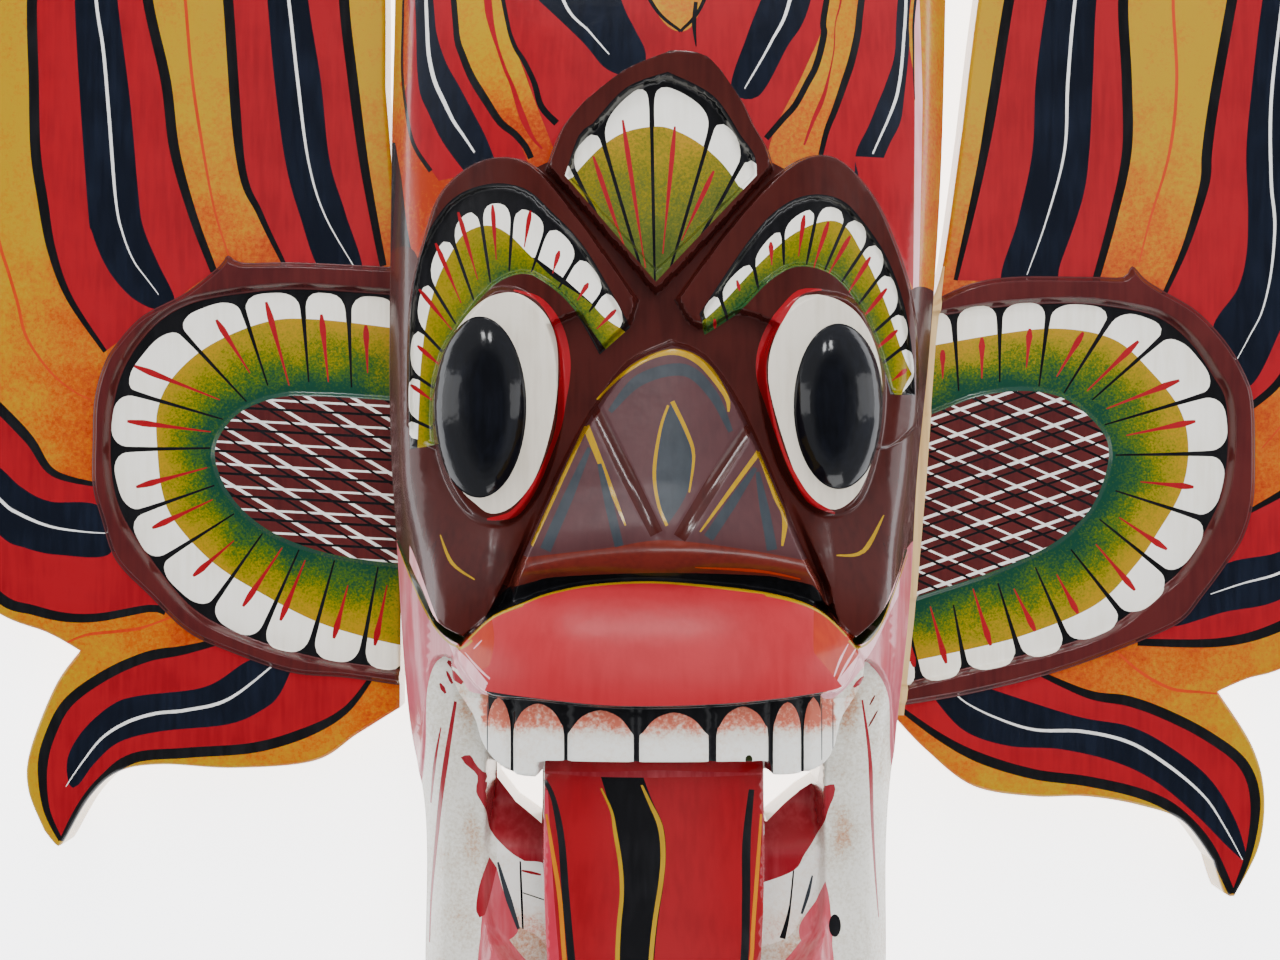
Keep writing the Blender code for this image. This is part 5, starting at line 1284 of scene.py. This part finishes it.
head_layers += filled(
    (lower_lip_pink,
     [(-42.8, -101), (-40.7, -108.2), (-37.1, -116.9), (-42.1, -121), (-46.4, -121), (-46.4, -112.5)]),
    (lower_lip_pink,
     [(42.5, -103.9), (43.6, -109.6), (43.6, -121), (37.4, -121), (36, -116.2), (40.3, -109.6)]),
    (gum_red, [(-44.7, -98.1), (-47.2, -105.3), (-47.9, -111.8), (-45.7, -112.5), (-42.8, -101)]))
head_layers.append((outline_black, round_loop(44.8, -115, 1.6, 2.8, count=16)))
head_layers += lined(
    (outline_black, [(-36.7, -99.3), (-36, -116.9)], (0.4, 0.6, 0.5)),
    (nose_gray, [(-42.5, -99.5), (-40, -108.2), (-37.1, -116.9)], (0.5, 1.6, 0.8)),
    (gum_red, [(-36.3, -101.7), (-31.3, -102.8)], (0.4, 0.8, 0.5)),
    (olive_edge, [(-36, -107.5), (-30, -109.5)], (0.3, 0.3, 0.3)),
    (outline_black, [(34.5, -101.7), (33.4, -112), (31.6, -119.4)], (0.4, 0.5, 1.6)),
    (nose_gray, [(39.4, -103), (38.2, -108), (36.6, -113)], (0.4, 1.0, 0.6)))
tooth_edges = ((-43.2, -37.4, -53.6), (-36.6, -24.1, -54.6), (-23.1, -7.1, -55.9), (-5.6, 11.1, -56.4),
               (13.1, 25.8, -55.1), (27.1, 34.1, -54.3), (34.9, 39.4, -53.3))
mouth_front = closed(
    [(48, -50), (-50, -50)], [(-50, -50), (-48, -62)], TEETH_EDGE[1:-1], [(45, -62), (48, -50)])
head_layers.append((stained_tooth, [(-50, -54), (-43, -54), (-43, -74), (-50, -74)], mouth_front))
head_layers.append((stained_tooth, [(39.3, -54), (48, -54), (48, -74), (39.3, -74)], mouth_front))
head_layers.append((outline_black, [(-43, -50), (-43, -74), (39, -74), (39, -50)], mouth_front))
head_layers += filled((lip_red, LIP_TOP[3:-3], LIP_EDGE[1:-1]))
for start, end, top in tooth_edges:
    width = end - start
    head_layers.append((stained_tooth,
                        curve([(start, -74), (start, -62), (start + 0.06 * width, top - 4.6),
                               (start + 0.22 * width, top - 1.6), ((start + end) / 2, top),
                               (end - 0.22 * width, top - 1.6), (end - 0.06 * width, top - 4.6), (end, -62),
                               (end, -74)]),
                        mouth_front))
head_layers.append((olive_edge, round_loop(21, -68, 0.9, 1.1, count=12)))
for place in (-43.2, 39.3, 42.2):
    head_layers.append((nose_gray, stroke([(place, -55), (place, -69)], 0.2, 0.3, 0.2)))
head_layers.append((tongue_red, closed(*TONGUE_SPANS)))
head_layers += lined((tongue_edge, [(-29, -78), (-28.6, -95), (-27.4, -116), (-25, -134), (-15, -148)],
                      (0.6, 2.2, 3.6, 4.0, 1.0)))
stripe_left = [(-15.5, -73.5), (-13.4, -80.4), (-11.7, -87.3), (-10.3, -95.5), (-10, -102.3), (-10.7, -109.8),
               (-11, -118.2), (-10.5, -130), (-8, -142)]
stripe_right = [(-4, -142), (-2.4, -130), (-2.1, -118.2), (-1.1, -108.5), (0.3, -99.6), (0.9, -92.7),
                (0.3, -85.9), (-2.5, -79.7), (-4.9, -73.5)]
head_layers += filled((outline_black, stripe_left, stripe_right))
head_layers += lined(
    (line_yellow, [(-15.2, -77), (-12.6, -82.4)] + stripe_left[2:], (0.4, 1.0, 1.0, 1.1, 1.1, 0.6)),
    (line_yellow, [(-4, -142), (-3.2, -130), (-2.9, -118.2), (-1.9, -108.5), (-0.4, -99.6), (0.2, -92.7),
                   (-0.5, -85.9), (-3, -80.4), (-5.3, -75.6)],
     (0.5, 1.1, 1.1, 1.1, 1.2, 1.3, 0.5)),
    (outline_black, [(-29.4, -75.6), (-27.1, -80.4), (-25.1, -90), (-24, -102.3), (-22.3, -118.2),
                     (-20.5, -132), (-15, -143)],
     (1.0, 1.7, 1.9, 1.9, 2.0, 1.6, 0.8)),
    (tongue_yellow, [(-29, -83.8), (-27.1, -94.1), (-25.4, -103.7), (-24, -118.2), (-22, -132), (-17, -143)],
     (0.6, 1.1, 1.1, 1.1, 1.0, 0.6)),
    (outline_black, [(22.5, -77.7), (21.1, -90), (20.8, -103.7), (20.1, -118.2), (17.5, -132), (11, -142)],
     (1.4, 2.2, 2.1, 2.0, 1.8, 0.8)),
    (tongue_yellow, [(24.9, -83.8), (23.9, -95.5), (22.5, -110.5), (21.8, -118.2), (19, -132), (12.5, -143)],
     (0.5, 1.0, 1.0, 1.0, 0.9, 0.5)),
    (gum_red, [(-30, -73.6), (-16.3, -73.6), (-0.3, -73.3), (12, -73.6), (26, -74)],
     (0.3, 1.2, 1.8, 1.2, 0.3)))
head_layers += [(outline_black, [(-15.3, -74.2), (-4.6, -74.2), (-4.2, -76), (-14.2, -76)])]

# Hollow, mouth gaps and the boards' slots, cut from the back with hidden solids
HOLLOW_WALL = 11.0
HOLLOW_CEILING = 36.0
HOLLOW_ROUNDING = 10.0
HOLLOW_TOP = 172.0
FACE_HOLLOW = (1, 26, 43, 62)
FACE_HOLLOW_CEILING = 57.0
MOUTH_GAPS = [[(-43.5, -74.6), (-31.4, -74.6), (-31.4, -90.5), (-38.5, -85.5), (-43.5, -79)],
              [(27.4, -74.6), (41.5, -74.6), (41, -80), (37, -82.5), (28, -90), (27.4, -90)]]
FIT_CLEARANCE = 0.3
CUT_OVERRUN = 4.0
ABOVE_FACE = 120.0
HOLLOW_STEPS = 6


def cutter(name, levels, finish=bare_wood):
    """A hidden closed solid from (height, outline) levels."""
    points = [(x * MM + zero_x, y * MM + zero_y, z * MM) for z, loop in levels for x, y in loop]
    count = len(levels[0][1])
    faces = []
    for level in range(len(levels) - 1):
        for index in range(count):
            after = (index + 1) % count
            a, b = level * count + index, level * count + after
            faces.append((a, b, b + count, a + count))
    faces += [tuple(reversed(range(count))), tuple(range((len(levels) - 1) * count, len(levels) * count))]
    mesh = bpy.data.meshes.new(name)
    mesh.from_pydata(points, [], faces)
    built = bmesh.new()
    built.from_mesh(mesh)
    bmesh.ops.recalc_face_normals(built, faces=built.faces)
    built.to_mesh(mesh)
    built.free()
    mesh.materials.append(finish)
    return bpy.data.objects.new(name, mesh)


def hollow_levels(outline, low, ceiling):
    """Levels of a hollow whose ceiling rounds over into its walls."""
    levels = [(low, outline)]
    for index in range(HOLLOW_STEPS + 1):
        turn = math.pi / 2 * index / HOLLOW_STEPS
        levels.append((ceiling - HOLLOW_ROUNDING * (1 - math.sin(turn)),
                       moved_out(outline, -HOLLOW_ROUNDING * (1 - math.cos(turn)))))
    return levels


def grown_tab(loop, lean, side, grow):
    """A tab's outline grown by a clearance and carried back out of the wall."""
    centre = np.mean(loop, axis=0)
    inwards, upwards = tab_directions(lean, side)
    half_in, half_up = TAB_REACH / 2, TAB_LENGTH / 2
    return [tuple(centre + inwards * a + upwards * b) for a, b in (
        (-half_in * 2, -half_up - grow), (half_in + grow, -half_up - grow),
        (half_in + grow, half_up + grow), (-half_in * 2, half_up + grow))]


hollow_plan = [point for point in moved_out(head_rim, -HOLLOW_WALL) if point[1] < HOLLOW_TOP]
cutters = [cutter("hollow_back", hollow_levels(hollow_plan, -CUT_OVERRUN, HOLLOW_CEILING)),
           cutter("hollow_face",
                  hollow_levels(round_loop(*FACE_HOLLOW), HOLLOW_CEILING / 2, FACE_HOLLOW_CEILING))]
for gap in MOUTH_GAPS:
    cutters.append(cutter("mouth_gap", [(HOLLOW_CEILING / 2, gap), (ABOVE_FACE, gap)], eye_white))
for loop, lean, side in ((left_tab, 0.0, -1), (right_tab, RIGHT_LEAN, 1)):
    plan = grown_tab(loop, lean, side, FIT_CLEARANCE)
    cutters.append(cutter("slot", [(BOARD_BACK - FIT_CLEARANCE, plan), (BOARD_FRONT + FIT_CLEARANCE, plan)]))


def head_tints(points):
    """How green, how warm and how stained the sponged paint is at each point of the head."""
    x, y = points[:, 0], points[:, 1]
    leaf = np.zeros(len(points))
    for side, outer, inner in ((-1, PETAL_EDGE_LEFT, LID_LEFT), (1, PETAL_EDGE_RIGHT, LID_RIGHT)):
        loop = curve(outer) + curve(inner)
        near = inside(points, moved_out(loop, 0.5))
        outer_points, inner_points = np.array(curve(outer)), np.array(curve(inner))
        chosen = points[near]
        to_outer = np.min(np.linalg.norm(chosen[:, None] - outer_points[None], axis=2), axis=1)
        to_inner = np.min(np.linalg.norm(chosen[:, None] - inner_points[None], axis=2), axis=1)
        nose_side = smooth((32 - side * chosen[:, 0]) / 22) * (0.45 if side > 0 else 0.12)
        leaf[near] = np.clip((to_outer / (to_outer + to_inner) - 0.35) / 0.8 + nose_side, 0, 1)
    in_fan = inside(points, moved_out(fan_loop, 0.5))
    leaf[in_fan] = np.clip((92 - y[in_fan]) / 34, 0, 1) * 0.9
    # Warmth: the yellow between the flames turns orange towards the brows, most of all on the left
    warmth = np.where(x < 0, 0.08 + 0.87 * smooth((108 - y) / 22), 0.3 + 0.2 * smooth((110 - y) / 20))
    warmth = np.where((x < -65.5) & (x > -69) & (y > 104), 0.85, warmth)
    # Stain: on the upper half of the teeth, low on the lower teeth, and high and low on the jaw columns
    upper_teeth = smooth((y + 65) / 7) * (np.abs(x) < 46)
    lower_teeth = 0.45 * smooth((-108 - y) / 8) * (np.abs(x) < 46)
    across = np.abs(x + 1)
    columns = (across > 42) * (0.75 * np.exp(-((across - 49) / 3.5) ** 2 - ((y + 58) / 8) ** 2)
                               + 0.6 * np.exp(-((across - 48) / 3.5) ** 2 - ((y + 92) / 8) ** 2))
    stain = np.clip(
        np.where(y > -80, upper_teeth * (across < 44), lower_teeth * (across < 42)) + columns, 0, 1)
    stain = np.maximum(stain, 0.16 * (across > 44) * (y < -50))
    return {"warmth": warmth, "leaf": leaf, "stain": stain}


# Rings round each pupil, closer together where its rim is steep
PUPIL_RINGS = (1.01, 0.985, 0.96, 0.92, 0.86, 0.78, 0.66, 0.5, 0.3)
GROOVE_LINES = (0.6, 2.4, 4.8)
head_creases = []
for loop in [crest, crest_field, teeth, tongue, mouth,
             lip] + list(brows.values()) + list(petal_fields.values()):
    head_creases += [loop, moved_out(loop, -STEP_WIDTH * 0.5), moved_out(loop, -STEP_WIDTH)]
for loop, width in (
        (nose, NOSE_EDGE), (lower_lip, LOWER_LIP_EDGE), (cheeks[-1], STEP_WIDTH), (cheeks[1], STEP_WIDTH),
        (folds[-1], STEP_WIDTH), (folds[1], STEP_WIDTH), (eyes[-1], EYE_EDGE), (eyes[1], EYE_EDGE)):
    head_creases += [moved_out(loop, -width * share) for share in (0.0, 0.25, 0.5, 0.75, 1.0)]
for pupil in PUPILS:
    head_creases += [round_loop(*pupil, ring) for ring in PUPIL_RINGS]
for path in NOSE_GROOVES:
    head_creases += [stroke(path, width, width) for width in GROOVE_LINES]
head = carved_piece("carved_head", head_outline, head_layers, relief, 0.0, grid_inside(head_rim, 1.5, 1.0),
                    bare_wood, head_tints, head_creases, cutters,
                    gloss_form=lambda points: relief(points, SOFTENED))
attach(head, "root")
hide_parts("head")
